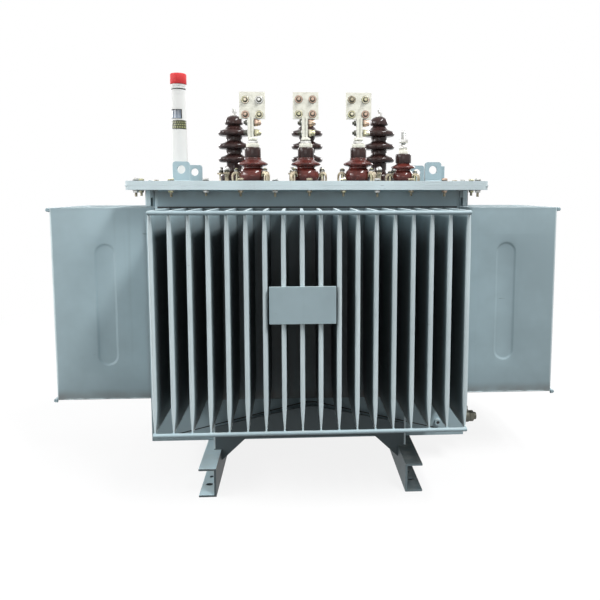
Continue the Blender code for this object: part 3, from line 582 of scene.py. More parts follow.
def zinc():
    return finish_named("yellow_zinc", make_zinc, palette().yellow_zinc)


def rubber():
    return finish_named("black_rubber", make_rubber, (0.018, 0.018, 0.019))


def bore_black():
    """Black for the inside of bolt holes and bores: painted shade of the hollow."""
    return finish_named("bore_black", make_rubber, (0.006, 0.006, 0.007))


def plastic(name, colour, roughness):
    return finish_named(name, make_plastic, colour, roughness)


def steel_frame(origin, direction, twist=0.0):
    """Matrix whose local z points along the direction and whose origin is given."""
    turn = Vector(direction).to_track_quat("Z", "Y").to_matrix().to_4x4()
    return Matrix.Translation(Vector(origin)) @ turn @ Matrix.Rotation(twist, 4, "Z")


def upright(node, twist=0.0):
    """Frame at the middle of a node's underside, with z up."""
    low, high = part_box(node)
    center = (low + high) / 2
    return steel_frame((center.x, center.y, low.z), Z_AXIS, twist)


def spoke(angle):
    """Level vector of length 1 at an angle in radians."""
    return Vector((math.cos(angle), math.sin(angle), 0))


def arc(center, radius, start, end, steps):
    """Points of an arc, with its angles in degrees."""
    points = []
    for i in range(steps + 1):
        angle = math.radians(start + (end - start) * i / steps)
        points.append((center[0] + radius * math.cos(angle), center[1] + radius * math.sin(angle)))
    return points


def circle(radius, steps):
    return arc((0, 0), radius, 0, 360, steps)[:-1]


def ring(place, outline, level=0.0):
    """Points of a flat outline, set at a height in the place's frame."""
    return [place @ Vector((x, y, level)) for x, y in outline]


class Shape:
    """Collects the parts of one piece and makes it one object."""

    def __init__(self):
        self.vertices = []
        self.faces = []
        self.face_slots = []
        self.materials = []

    def add(self, vertices, faces, material):
        """Faces, as numbers of their vertices, with one finish."""
        if material not in self.materials:
            self.materials.append(material)
        start = len(self.vertices)
        self.vertices += [tuple(vertex) for vertex in vertices]
        self.faces += [tuple(start + i for i in face) for face in faces]
        self.face_slots += [self.materials.index(material)] * len(faces)

    def loft(self, rings, material):
        """Closed skin through rings of points, with its first and last rings filled."""
        vertices = []
        places = []
        for points in rings:
            places.append(list(range(len(vertices), len(vertices) + len(points))))
            vertices += points
        faces = []
        for lower, upper in zip(places, places[1:]):
            longest = max(len(lower), len(upper))
            for i in range(longest):
                j = (i + 1) % longest
                corners = [lower[i % len(lower)], lower[j % len(lower)]]
                corners += [upper[j % len(upper)], upper[i % len(upper)]]
                faces.append(tuple(dict.fromkeys(corners)))
        faces += [tuple(places[0]), tuple(places[-1])]
        self.add(vertices, [face for face in faces if len(face) > 2], material)

    def turned(self, profile, place, material, steps):
        """Body of revolution about the place's z axis; the profile lists (radius, height).

        It closes on the axis, level with its first and last points unless they lie there.
        """
        bottom, top = (profile[end][1] for end in (0, -1))
        rings = []
        for radius, height in ((0, bottom), *profile, (0, top)):
            outline = circle(radius, steps) if radius > 0 else [(0, 0)]
            if rings and len(outline) == len(rings[-1]) == 1:
                continue
            rings.append(ring(place, outline, height))
        self.loft(rings, material)

    def prism(self, outline, low, high, place, material):
        self.loft([ring(place, outline, level) for level in (low, high)], material)

    def block(self, corner, opposite, material):
        """Upright box between two opposite corners, in any order."""
        (x0, x1), (y0, y1), (z0, z1) = (sorted(pair) for pair in zip(corner, opposite))
        outline = [(x0, y0), (x1, y0), (x1, y1), (x0, y1)]
        self.prism(outline, z0, z1, Matrix.Identity(4), material)

    def weld(self, start, end, radius, material, ripple=0.005):
        """Weld bead between two points, six-sided, with the ripples of its run."""
        start, end = Vector(start), Vector(end)
        count = max(2, int((end - start).length / ripple))
        path = [start.lerp(end, i / count) for i in range(count + 1)]
        rings = []
        for i, point in enumerate(path):
            swell = 0.86 + 0.14 * (i % 2) + 0.08 * math.sin(1.7 * i)
            ends = 0.5 if i in (0, count) else 1.0
            place = steel_frame(point, path[min(i + 1, count)] - path[max(i - 1, 0)])
            rings.append(ring(place, circle(radius * swell * ends, 6)))
        self.loft(rings, material)

    def thread(self, place, radius, low, high, material, pitch=0.0022, steps=12):
        """Threaded rod from low to high along the place's z axis."""
        profile = [(radius * 0.80, low)]
        count = max(1, int((high - low) / pitch))
        step = (high - low) / count
        for i in range(count):
            profile.append((radius, low + (i + 0.45) * step))
            profile.append((radius * 0.86, low + (i + 0.95) * step))
        profile.append((radius * 0.74, high))
        self.turned(profile, place, material, steps)

    def disc(self, place, radius, low, high, edge, material, steps):
        """Round body whose two rims are chamfered by the edge."""
        profile = [(radius - edge, low), (radius, low + edge), (radius, high - edge),
                   (radius - edge, high)]
        self.turned(profile, place, material, steps)

    def washer(self, place, radius, low, high, material):
        self.disc(place, radius, low, high, (high - low) * 0.3, material, 20)

    def nut(self, place, radius, low, high, material):
        """Hexagon with chamfered corners."""
        edge = (high - low) * 0.16
        rings = []
        for shrink, level in ((0.90, low), (1.0, low + edge), (1.0, high - edge), (0.90, high)):
            rings.append(ring(place, circle(radius * shrink, 6), level))
        self.loft(rings, material)

    def screws(self, place, reach, axis, height):
        """Four small hexagon heads round the place's origin, along the axis."""
        for i in range(4):
            angle = math.radians(45 + 90 * i)
            head = steel_frame(place @ (spoke(angle) * reach), axis, angle)
            self.nut(head, 0.0034, 0.0, height, zinc())

    def make(self, name, slot, replaced=(), bevel=0.0, angle=38, joined=False):
        """One object that rides on the body and stands for the nodes; its record slot is not used.
        """
        mesh = bpy.data.meshes.new(name)
        mesh.from_pydata(self.vertices, [], self.faces)
        for material in self.materials:
            mesh.materials.append(material)
        mesh.polygons.foreach_set("material_index", self.face_slots)
        shell = bmesh.new()
        shell.from_mesh(mesh)
        if joined:
            bmesh.ops.remove_doubles(shell, verts=shell.verts, dist=MERGE_DISTANCE)
        bmesh.ops.recalc_face_normals(shell, faces=shell.faces)
        shell.to_mesh(mesh)
        shell.free()
        obj = linked_object(name, mesh)
        dress_edges(obj, bevel, angle)
        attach(obj, BODY)
        if replaced:
            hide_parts(*replaced)
        return obj


def linked_object(name, data):
    obj = bpy.data.objects.new(name, data)
    bpy.context.scene.collection.objects.link(obj)
    return obj


def dress_edges(obj, bevel, angle):
    """Smooth shading with sharp edges kept, and rounded edges where a bevel is given."""
    obj.data.shade_smooth()
    obj.data.set_sharp_from_angle(angle=math.radians(angle))
    if bevel:
        round_edges(obj, bevel, angle).harden_normals = True


def round_edges(obj, bevel, angle):
    modifier = obj.modifiers.new("edges", "BEVEL")
    modifier.width = bevel
    modifier.segments = 2
    modifier.limit_method = "ANGLE"
    modifier.angle_limit = math.radians(angle)
    return modifier


def dress_node(name, material, bevel):
    """Keeps a CAD node, with welded corners, rounded edges and a finish."""
    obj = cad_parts[name]
    obj.data.materials.clear()
    obj.data.materials.append(material)
    obj.modifiers.new("corners", "WELD").merge_threshold = MERGE_DISTANCE
    round_edges(obj, bevel, 40)


def wall_facts(sizes):
    """Name, fins, turn in degrees and long axis (0 for x, 1 for y) of each cooling wall."""
    for name, turn in WALL_TURNS.items():
        along = 0 if turn in (0, 180) else 1
        yield name, (sizes.long_fins, sizes.short_fins)[along], turn, along


class OperatorBase:
    """Hands the panel's sizes to an operator's build method."""

    bl_options = {"REGISTER", "UNDO"}

    def execute(self, context):
        self.build(context.scene.transformer_sizes)
        return {"FINISHED"}


class TRANSFORMER_OT_stage(OperatorBase, bpy.types.Operator):
    """Floor, lamps, world and camera"""

    bl_idname = "transformer.stage"
    bl_label = "Stage"

    def build(self, sizes):
        self.build_floor()
        self.build_world()
        self.build_lamps()
        self.build_camera()
        bpy.context.scene.view_settings.view_transform = "Standard"

    def build_floor(self):
        reach = 14.0
        mesh = bpy.data.meshes.new("studio_floor")
        sides = ((-1, -1), (1, -1), (1, 1), (-1, 1))
        corners = [(x * reach, y * reach, FLOOR_LEVEL) for x, y in sides]
        mesh.from_pydata(corners, [], [(0, 1, 2, 3)])
        mesh.materials.append(finish_named("studio_floor", make_floor, palette().floor))
        linked_object("studio_floor", mesh)

    def build_world(self):
        """Soft even light, seen as white by the camera, in mirrors and through glass."""
        world = bpy.data.worlds.new("studio")
        world.use_nodes = True
        bpy.context.scene.world = world
        world.node_tree.nodes.clear()
        nodes = Nodes(world.node_tree)
        soft, white = (
            nodes.node("ShaderNodeBackground", {}, {"Color": colour, "Strength": strength})
            for colour, strength in (((0.96, 0.98, 1.0), 0.15), (WHITE, 1.0))
        )
        blend = nodes.node("ShaderNodeMixShader", {}, {0: nodes.seen(), 1: soft, 2: white})
        nodes.node("ShaderNodeOutputWorld", {}, {"Surface": blend})

    def build_lamps(self):
        """A long narrow lamp high on the right, softer ones at the left, in front and behind.

        Each has its place, the direction it shines in, its width, its height and its watts.
        """
        lamps = (
            ("lamp_strip", (2.45, -2.40, 5.15), (-0.489, 0.0, -0.872), 4.2, 0.8, 385),
            ("lamp_left", (-3.73, -1.95, 2.05), (0.850, 0.338, -0.365), 2.6, 1.6, 50),
            ("lamp_low_left", (-3.40, -0.50, 2.20), (0.826, 0.013, -0.564), 1.8, 1.2, 70),
            ("lamp_front", (-0.50, -5.60, 1.10), (0.080, 0.990, -0.110), 3.0, 2.0, 29),
            ("lamp_rear_left", (-3.1, 3.8, 2.3), (0.600, -0.700, -0.380), 2.4, 1.4, 96),
            ("lamp_rear_right", (3.1, 3.8, 2.3), (-0.600, -0.700, -0.380), 2.4, 1.4, 96),
        )
        for name, origin, direction, width, height, watts in lamps:
            data = bpy.data.lights.new(name, "AREA")
            data.shape = "RECTANGLE"
            data.size, data.size_y, data.energy = width, height, watts
            lamp = linked_object(name, data)
            lamp.location = origin
            lamp.rotation_euler = Vector(direction).to_track_quat("-Z", "Y").to_euler()
            lamp.visible_camera = False

    def build_camera(self):
        """The photograph's viewpoint, at its focal length in pixels and its optical centre."""
        width = 600
        focal_pixels, center_x, center_y = 608.1, 329.4, 252.0
        tilt, turn = 84.31, -3.2
        data = bpy.data.cameras.new("photo_view")
        data.sensor_width = 36.0
        data.sensor_fit = "HORIZONTAL"
        data.lens = data.sensor_width * focal_pixels / width
        data.shift_x = (width / 2 - center_x) / width
        data.shift_y = (center_y - width / 2) / width
        camera = linked_object("photo_view", data)
        camera.location = (-0.0427, -2.0830, 0.8706)
        camera.rotation_euler = (math.radians(tilt), 0.0, math.radians(turn))
        bpy.context.scene.camera = camera


class TRANSFORMER_OT_steelwork(OperatorBase, bpy.types.Operator):
    """Enamel and rounded edges on the tank, skids, plates, cover and lugs"""

    bl_idname = "transformer.steelwork"
    bl_label = "Steelwork"

    def build(self, sizes):
        dress_node("tank_shell", tank_enamel(), STEEL_BEVEL)
        for name in PLATE_NODES + LUG_NODES:
            dress_node(name, enamel(), STEEL_BEVEL)
        for name in SKID_NODES:
            dress_node(name, skid_enamel(name), STEEL_BEVEL)
        for name in BRIDGE_NODES:
            dress_node(name, shaded_enamel(), STEEL_BEVEL)
        for name in EDGE_NODES:
            dress_node(name, lid_enamel(), RIM_BEVEL)
        self.build_joint()
        self.build_skid_bores()

    def build_joint(self):
        """Painted gasket that closes the joint between the rim flange and the cover."""
        shape = Shape()
        behind, width, lap = 0.0004, 0.012, 0.0012
        low, high = FLANGE_HIGH.z - lap, COVER_LOW.z + lap
        x, y = COVER_HIGH.x - behind, COVER_HIGH.y - behind
        for side in (-1, 1):
            shape.block((-x, side * y, low), (x, side * (y - width), high), lid_enamel())
            shape.block((side * x, width - y, low), (side * (x - width), y - width, high),
                        lid_enamel())
        shape.make("lid_gasket", "paint")

    def build_skid_bores(self):
        """Black discs at the bottoms of the bolt hole and the slot near each end of the skids:
        painted shade of the holes.
        """
        shape = Shape()
        hole_from_end, slot_from_end, from_outer = 0.116, 0.067, 0.0215
        half_slot, slot_radius, hole_radius = 0.010, 0.0068, 0.0053
        bottom = (0.0006, 0.0020)
        slot = arc((0, half_slot), slot_radius, 0, 180, 12)
        slot += arc((0, -half_slot), slot_radius, 180, 360, 12)
        for node in SKID_NODES:
            low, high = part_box(node)
            x = low.x + from_outer if low.x < 0 else high.x - from_outer
            for end, inward in ((low.y, 1), (high.y, -1)):
                for distance, outline in (
                    (hole_from_end, circle(hole_radius, 24)), (slot_from_end, slot),
                ):
                    place = steel_frame((x, end + inward * distance, low.z), Z_AXIS)
                    shape.prism(outline, *bottom, place, bore_black())
        shape.make("skid_bores", "paint")


class TRANSFORMER_OT_cooling_walls(OperatorBase, bpy.types.Operator):
    """Corrugated walls with pinched fin ends and pressed capsules"""

    bl_idname = "transformer.cooling_walls"
    bl_label = "Cooling walls"

    def build(self, sizes):
        for name, count, turn, along in wall_facts(sizes):
            self.build_wall(name, count, turn, along, sizes)

    def build_wall(self, name, count, turn, along, sizes):
        """Made facing -Y in its own frame, then turned round the tank."""
        node = "fins_" + name
        low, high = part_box(node)
        out = 1 - along
        depth = high[out] - low[out]
        root = min(abs(low[out]), abs(high[out]))
        span = (high[along] - low[along]) / 2
        turned = Matrix.Rotation(math.radians(turn), 4, "Z")
        place = turned @ Matrix.Translation((0, -root, low.z))
        wall = CorrugatedWall(count, span, depth, high.z - low.z, sizes, place)
        wall.build().make("corrugated_wall_" + name, "paint", (node,), angle=50, joined=True)


class CorrugatedWall:
    """Folded sheet seen in its own frame: x along the wall, -y outwards, z up."""

    sheet = 0.0015
    nose_steps = 8
    taper_steps = 8
    taper_curve = 1.7
    taper_spread = 1.15
    pinched = 0.010
    seam_inset, seam_short = 0.0022, 0.004
    seam_radius, seam_ripple = 0.0029, 0.016
    emboss_depth = 0.0034
    # How far each ring lies outside the capsule's outline, and its share of the depth.
    emboss_rings = ((0.0050, 0.0), (0.0030, 0.10), (0.0005, 0.46), (-0.0020, 0.86), (-0.0050, 1.0))

    def __init__(self, count, span, depth, height, sizes, place):
        self.count = count
        self.span = span
        self.depth = depth
        self.height = height
        self.sizes = sizes
        self.place = place
        self.shape = Shape()

    def point(self, x, out, z):
        return self.place @ Vector((x, -out, z))

    def half(self, level):
        """Half the width of a fin: flat and thin at its ends, then widening to the full fold."""
        full = self.sizes.fin_thickness / 2
        pinch = (self.sizes.fin_top if level > self.height / 2 else self.sizes.fin_pinch) / 2
        share = (min(level, self.height - level) - self.pinched) / self.sizes.fin_taper
        share = min(1.0, max(0.0, share))
        return pinch + (full - pinch) * (1 - (1 - share) ** self.taper_curve)

    def levels(self):
        """Heights of the rows of points, closer together where the fins widen."""
        low = [0.0]
        for i in range(self.taper_steps + 1):
            share = (i / self.taper_steps) ** self.taper_spread
            low.append(self.pinched + self.sizes.fin_taper * share)
        return low + [self.height - level for level in reversed(low)]

    def nose(self, center, level):
        """Row of points from one side of a fin round its nose to the other."""
        half = self.half(level)
        points = []
        for i in range(self.nose_steps + 1):
            angle = math.pi * i / self.nose_steps
            out = self.depth - half + half * math.sin(angle)
            points.append(self.point(center - half * math.cos(angle), out, level))
        return points

    def roots(self, center, level):
        """Two points where a fin leaves the sheet."""
        half = self.half(level)
        return tuple(self.point(center + x, self.sheet, level) for x in (-half, half))

    def build(self):
        pitch = self.sizes.fin_pitch
        self.centers = [(i - (self.count - 1) / 2) * pitch for i in range(self.count)]
        for center in self.centers:
            self.build_fin(center)
            self.build_seams(center)
        self.build_valleys()
        return self.shape

    def build_fin(self, center):
        levels = self.levels()
        noses = [self.nose(center, level) for level in levels]
        roots = [self.roots(center, level) for level in levels]
        # The noses take the paler enamel: painted light where they catch the lamps.
        self.strip(noses, edge_enamel())
        middle = self.taper_steps + 1
        for side in (0, -1):
            outermost = center == self.centers[side]
            for i in range(len(levels) - 1):
                if outermost and i == middle:
                    self.embossed_panel(center, levels[i], levels[i + 1], side)
                    continue
                corners = [roots[i][side], noses[i][side], noses[i + 1][side], roots[i + 1][side]]
                self.shape.add(corners, [(0, 1, 2, 3)], wall_enamel())
        for i in (0, -1):
            cap = [roots[i][0]] + noses[i] + [roots[i][1]]
            self.shape.add(cap, [tuple(range(len(cap)))], wall_enamel())

    def strip(self, rows, material):
        """Faces between rows of points."""
        width = len(rows[0])
        faces = []
        for i in range(len(rows) - 1):
            for j in range(width - 1):
                a = i * width + j
                faces.append((a, a + 1, a + width + 1, a + width))
        self.shape.add([point for row in rows for point in row], faces, material)

    def embossed_panel(self, center, low, high, side):
        """Flat side of an outermost fin with a capsule pressed into it."""
        half = self.half((low + high) / 2)
        inwards = 1 if side == 0 else -1
        x = center - inwards * half
        near, far = self.sheet, self.depth - half
        middle = ((near + far) / 2, (low + high) / 2)
        rows = [[self.point(x, u, v) for u, v in self.frame_ring(near, far, low, high, middle)]]
        for offset, share in self.emboss_rings:
            level = x + inwards * share * self.emboss_depth
            rows.append([self.point(level, u, v) for u, v in self.capsule(middle, offset)])
        count = len(rows[0])
        faces = []
        for i in range(len(rows) - 1):
            for j in range(count):
                k = (j + 1) % count
                a, b = i * count, (i + 1) * count
                faces.append((a + j, a + k, b + k, b + j))
        faces.append(tuple(range((len(rows) - 1) * count, len(rows) * count)))
        self.shape.add([point for row in rows for point in row], faces, wall_enamel())

    def capsule(self, middle, offset):
        """Upright outline with round ends, wider than the pressed one by the offset."""
        radius = self.sizes.emboss_width / 2 + offset
        straight = self.sizes.emboss_height / 2 - self.sizes.emboss_width / 2
        upper = arc((middle[0], middle[1] + straight), radius, 0, 180, 20)
        return upper + arc((middle[0], middle[1] - straight), radius, 180, 360, 20)

    def frame_ring(self, near, far, low, high, middle):
        """Points on the panel's border, one straight out from each point of the capsule."""
        border = []
        for u, v in self.capsule(middle, 0.0):
            du, dv = u - middle[0], v - middle[1]
            reach = min(
                (far - middle[0]) / abs(du) if du else math.inf,
                (high - middle[1]) / abs(dv) if dv else math.inf,
            )
            border.append((middle[0] + du * reach, middle[1] + dv * reach))
        for corner in ((near, low), (near, high), (far, low), (far, high)):
            nearest = min(range(len(border)), key=lambda i: math.dist(border[i], corner))
            border[nearest] = corner
        return border

    def build_seams(self, center):
        """Weld along the closed ends of a fin, in the paler enamel: painted light from above."""
        for level in (self.seam_inset, self.height - self.seam_inset):
            start = self.point(center, self.sheet, level)
            end = self.point(center, self.depth - self.seam_short, level)
            self.shape.weld(start, end, self.seam_radius, edge_enamel(), self.seam_ripple)

    def build_valleys(self):
        """Flat strips of the sheet between the fins."""
        levels = self.levels()
        rows = []
        for level in levels:
            row = [self.point(-self.span, self.sheet, level)]
            for center in self.centers:
                row += self.roots(center, level)
            rows.append(row + [self.point(self.span, self.sheet, level)])
        for i in range(len(levels) - 1):
            for j in range(0, len(rows[0]), 2):
                corners = [rows[i][j], rows[i][j + 1], rows[i + 1][j + 1], rows[i + 1][j]]
                self.shape.add(corners, [(0, 1, 2, 3)], wall_enamel())


class TRANSFORMER_OT_tie_bars(OperatorBase, bpy.types.Operator):
    """Round bars across the fin noses, spot welded to each fin"""

    bl_idname = "transformer.tie_bars"
    bl_label = "Tie bars"

    slimness = 0.86
    drops = {"top": 0.0022, "bottom": 0.0034}
    spot_rise, spot_depth = 0.55, 0.78
    spot_profile = ((0, -0.0032), (0.0030, -0.0020), (0.0040, 0.0), (0.0030, 0.0020), (0, 0.0032))

    def build(self, sizes):
        for name, count, turn, along in wall_facts(sizes):
            for level, drop in self.drops.items():
                node = "tie_bar_%s_%s" % (name, level)
                self.build_bar(node, count, turn, (X_AXIS, Y_AXIS)[along], drop, sizes.fin_pitch)

    def build_bar(self, node, count, turn, axis, drop, pitch):
        """Bar with chamfered ends and two weld spots at each fin, above and below it."""
        low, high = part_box(node)
        radius = self.slimness * (high.z - low.z) / 2
        end = (high - low).dot(axis) / 2
        middle = (low + high) / 2 - Z_AXIS * drop
        shape = Shape()
        shape.disc(steel_frame(middle, axis), radius, -end, end, radius * 0.22, enamel(), 24)
        inward = Matrix.Rotation(math.radians(turn), 3, "Z") @ Y_AXIS
        for i in range(count):
            center = middle + axis * (i - (count - 1) / 2) * pitch
            for rise in (-self.spot_rise, self.spot_rise):
                spot = center + inward * radius * self.spot_depth + Z_AXIS * rise * radius
                shape.turned(self.spot_profile, steel_frame(spot, inward), enamel(), 8)
        shape.make(node + "_welded", "paint", (node,))


class TRANSFORMER_OT_cover_bolts(OperatorBase, bpy.types.Operator):
    """Bolts, washers and nuts round the cover"""

    bl_idname = "transformer.cover_bolts"
    bl_label = "Cover bolts"

    finish_order = (bright_zinc, zinc, bright_zinc, cream_zinc, bright_zinc, cream_zinc, zinc,
                    bright_zinc, cream_zinc, copper)

    def build(self, sizes):
        pitch = sizes.cover_bolt_pitch
        reach_x = COVER_HIGH.x - sizes.cover_bolt_inset
        reach_y = COVER_HIGH.y - sizes.cover_bolt_inset
        long_count = int(2 * reach_x / pitch) // 2
        short_count = int(2 * reach_y / pitch)
        places = []
        for side in (-1, 1):
            places += [(i * pitch, side * reach_y) for i in range(-long_count, long_count + 1)]
            for i in range(short_count):
                places.append((side * reach_x, (i - (short_count - 1) / 2) * pitch))
        shape = Shape()
        for i, (x, y) in enumerate(places):
            self.build_bolt(shape, x, y, i)
        shape.make("cover_bolts", "brass")

    def build_bolt(self, shape, x, y, i):
        """Low head on top of the cover, washer, nut and thread under the flange."""
        twist = math.radians(23 * i)
        finish = self.finish_order[i % len(self.finish_order)]()
        thread_end = 0.0195 + 0.0015 * math.sin(2.1 * i)
        top = steel_frame((x, y, COVER_HIGH.z), Z_AXIS, twist)
        below = steel_frame((x, y, FLANGE_LOW.z), -Z_AXIS, twist * 1.7)
        shape.washer(top, 0.0100, 0.0, 0.0016, brass())
        shape.nut(top, 0.0088, 0.0016, 0.0084, finish)
        shape.washer(below, 0.0100, 0.0, 0.0022, bright_zinc())
        shape.nut(below, 0.0084, 0.0022, 0.0080, finish)
        shape.thread(below, 0.0042, 0.0080, thread_end, cream_zinc(), steps=10)


class TRANSFORMER_OT_welds(OperatorBase, bpy.types.Operator):
    """Weld beads at the flange, lugs, skids and plates, and the plates' ends painted pale as
    painted light
    """

    bl_idname = "transformer.welds"
    bl_label = "Weld beads"

    def build(self, sizes):
        shape = Shape()
        self.flange_welds(shape)
        self.lug_welds(shape)
        self.skid_welds(shape)
        self.bridge_welds(shape)
        shape.make("weld_beads", "paint")

    def flange_welds(self, shape):
        """Between the tank wall and the underside of the rim flange."""
        x, y, z = abs(SIDE_HIGH.x), abs(FRONT_HIGH.y), FLANGE_LOW.z - 0.0015
        radius, ripple, corner = 0.0035, 0.007, 0.014
        for side in (-1, 1):
            for start, end in (
                ((-x + corner, side * y, z), (x - corner, side * y, z)),
                ((side * x, -y + corner, z), (side * x, y - corner, z)),
            ):
                shape.weld(start, end, radius, enamel(), ripple)

    def lug_welds(self, shape):
        """Round the feet of the lifting lugs."""
        radius = 0.0034
        for node in LUG_NODES:
            low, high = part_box(node)
            z = low.z + 0.001
            for y in (low.y, high.y):
                shape.weld((low.x, y, z), (high.x, y, z), radius, enamel())
            for x in (low.x, high.x):
                shape.weld((x, low.y, z), (x, high.y, z), radius, enamel())

    def skid_welds(self, shape):
        """Along both edges of the skids under the tank."""
        radius, ripple = 0.0036, 0.008
        wall = abs(FRONT_HIGH.y) - 0.012
        for node in SKID_NODES:
            low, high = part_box(node)
            for x in (low.x, high.x):
                shape.weld((x, -wall, high.z), (x, wall, high.z), radius, enamel(), ripple)

    def bridge_welds(self, shape):
        """Where the bridge plates stand on the skids, in the plates' painted-shade enamel; the
        plates' own ends are painted pale as painted light.
        """
        radius = 0.0032
        proud, wrap, end_width, under_top = 0.0002, 0.0003, 0.0050, 0.0020
        for plate in BRIDGE_NODES:
            low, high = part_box(plate)
            for node in SKID_NODES:
                skid_low, skid_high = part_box(node)
                start, end = max(low.x, skid_low.x), min(high.x, skid_high.x)
                z = skid_high.z
                for y in (low.y, high.y):
                    shape.weld((start, y, z), (end, y, z), radius, shaded_enamel())
            for side, x in ((1, low.x), (-1, high.x)):
                shape.block((x - side * proud, low.y - wrap, z),
                            (x + side * end_width, high.y + wrap, high.z - under_top),
                            edge_enamel())


class TRANSFORMER_OT_wall_details(OperatorBase, bpy.types.Operator):
    """Dark lines and corner flanges of the walls, bracket faces painted pale as lit, and painted
    shade in the earthing boss's bore
    """

    bl_idname = "transformer.wall_details"
    bl_label = "Wall details"

    def build(self, sizes):
        shape = Shape()
        for side in (-1, 1):
            self.gable_line(shape, side)
            self.lap_joint_shade(shape, side)
        shape.make("dark_wall_lines", "paint")
        self.corner_flanges()
        self.lit_bracket_faces()
        self.boss_bore()

    def strip(self, shape, side, line, half):
        """Thin dark strip on a long wall along a line of (x, z)."""
        y = side * abs(FRONT_HIGH.y)
        proud = 0.0006
        levels = (y, y + side * proud)
        for (x0, z0), (x1, z1) in zip(line, line[1:]):
            corners = [(x0, z0 - half), (x1, z1 - half), (x1, z1 + half), (x0, z0 + half)]
            rings = [[Vector((x, level, z)) for x, z in corners] for level in levels]
            shape.loft(rings, rubber())

    def gable_line(self, shape, side):
        """Thin dark line that climbs from both corners of a long wall to its middle."""
        foot_x, foot_z = 0.416, FLOOR_LEVEL + 0.107
        crown_x, crown_z = 0.017, FLOOR_LEVEL + 0.203
        line = [(-foot_x, foot_z), (-crown_x, crown_z), (crown_x, crown_z), (foot_x, foot_z)]
        self.strip(shape, side, line, 0.0016)

    def lap_joint_shade(self, shape, side):
        """Black strip over the fins along the joint where the folded sheet is welded to the tank's
        upper edge: painted shade of the dark gap there.
        """
        x, z = 0.462, FRONT_HIGH.z + 0.0024
        self.strip(shape, side, [(-x, z), (x, z)], 0.0022)

    def corner_flanges(self):
        """Narrow upright flanges where the long walls are welded to the short ones."""
        inside, wide, behind, thick = 0.014, 0.026, 0.0004, 0.003
        inner = (abs(SIDE_HIGH.x) - inside, abs(FRONT_HIGH.y) - behind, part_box("tank_shell")[0].z)
        outer = (abs(SIDE_HIGH.x) + wide, abs(FRONT_HIGH.y) - thick, FRONT_HIGH.z - 0.020)
        self.corner_blocks("corner_flanges", inner, outer, enamel(), 0.0006)

    def lit_bracket_faces(self):
        """Pale faces of the upper corner brackets, outside their grooves: painted light where the
        corners catch the lamps.
        """
        start, stop = 0.0130, 0.0265
        proud, deep, drop, under = 0.0005, 0.0040, 0.0490, 0.0010
        face = abs(FRONT_HIGH.y) - BRACKET_SETBACK
        inner = (abs(SIDE_HIGH.x) + start, face + proud, FLANGE_LOW.z - drop)
        outer = (abs(SIDE_HIGH.x) + stop, face - deep, FLANGE_LOW.z - under)
        self.corner_blocks("lit_bracket_faces", inner, outer, edge_enamel(), 0.0010)

    def corner_blocks(self, name, inner, outer, material, bevel):
        """The same block at the tank's four corners, as one piece."""
        shape = Shape()
        for side in (-1, 1):
            for end in (-1, 1):
                corners = [(side * x, end * y, z) for x, y, z in (inner, outer)]
                shape.block(*corners, material)
        shape.make(name, "paint", bevel=bevel)

    def boss_bore(self):
        """Black disc at the bottom of the threaded bore in the earthing boss: painted shade of the
        bore.
        """
        from_end, rise, length, bore = 0.060, 0.046, 0.012, 0.0068
        x = abs(SIDE_HIGH.x) - from_end
        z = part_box("skid_left")[1].z + rise
        place = steel_frame((x, FRONT_HIGH.y - length, z), Y_AXIS)
        shape = Shape()
        shape.prism(circle(bore, 24), 0.0015, 0.0030, place, bore_black())
        shape.make("boss_bore", "paint")


class TRANSFORMER_OT_low_bushings(OperatorBase, bpy.types.Operator):
    """Low-voltage porcelains with their clamps"""

    bl_idname = "transformer.low_bushings"
    bl_label = "Low-voltage bushings"

    # Both profiles are drawn for a shed of this radius; the collar's radii are shares.
    full_radius = 0.048
    clamp_turns = {
        "a": (180, 320, 75), "b": (224, 2, 100), "c": (182, 318, 75), "n": (180, 322, 75),
    }
    profile = (
        (0.0372, 0.0012), (0.0384, 0.0030), (0.0398, 0.0060), (0.0414, 0.0100), (0.0427, 0.0142),
        (0.0432, 0.0182), (0.0429, 0.0222), (0.0417, 0.0268), (0.0397, 0.0314), (0.0372, 0.0352),
        (0.0342, 0.0386), (0.0316, 0.0412), (0.0303, 0.0436), (0.0302, 0.0462), (0.0322, 0.0480),
        (0.0372, 0.0492), (0.0426, 0.0506), (0.0462, 0.0524), (0.0477, 0.0544), (0.0480, 0.0560),
        (0.0472, 0.0578), (0.0440, 0.0600), (0.0392, 0.0624), (0.0346, 0.0646), (0.0306, 0.0668),
        (0.0276, 0.0690), (0.0266, 0.0706), (0.0272, 0.0716), (0.0273, 0.0744), (0.0262, 0.0754),
    )
    collar = ((0.96, 0.0730), (1.0, 0.0745), (1.0, 0.1040), (0.98, 0.1064), (0.93, 0.1080))
    collar_radii = {"a": 0.0256, "b": 0.0256, "c": 0.0256, "n": 0.0308}

    def build(self, sizes):
        for letter in PHASES + ("n",):
            self.build_bushing("lv_bushing_" + letter, letter)

    def build_bushing(self, node, letter):
        """Domed foot, waist under the shed, sloping shed, ring and straight collar."""
        low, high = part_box(node)
        place = upright(node)
        scale = (high.x - low.x) / 2 / self.full_radius
        collar_radius = self.collar_radii[letter]
        shape = Shape()
        profile = [(radius * scale, height * scale) for radius, height in self.profile]
        shape.turned(profile, place, low_glaze(), 56)
        collar = [(share * collar_radius * scale, height * scale) for share, height in self.collar]
        shape.turned(collar, place, high_glaze(), 48)
        shape.washer(place, 0.0400 * scale, 0.0, 0.0022, rubber())
        for turn in self.clamp_turns[letter]:
            build_clamp(shape, place.to_translation(), 0.0520 * scale, 0.042 * scale, turn)
        shape.make("porcelain_" + node, "lv_porcelain", (node,), angle=60)


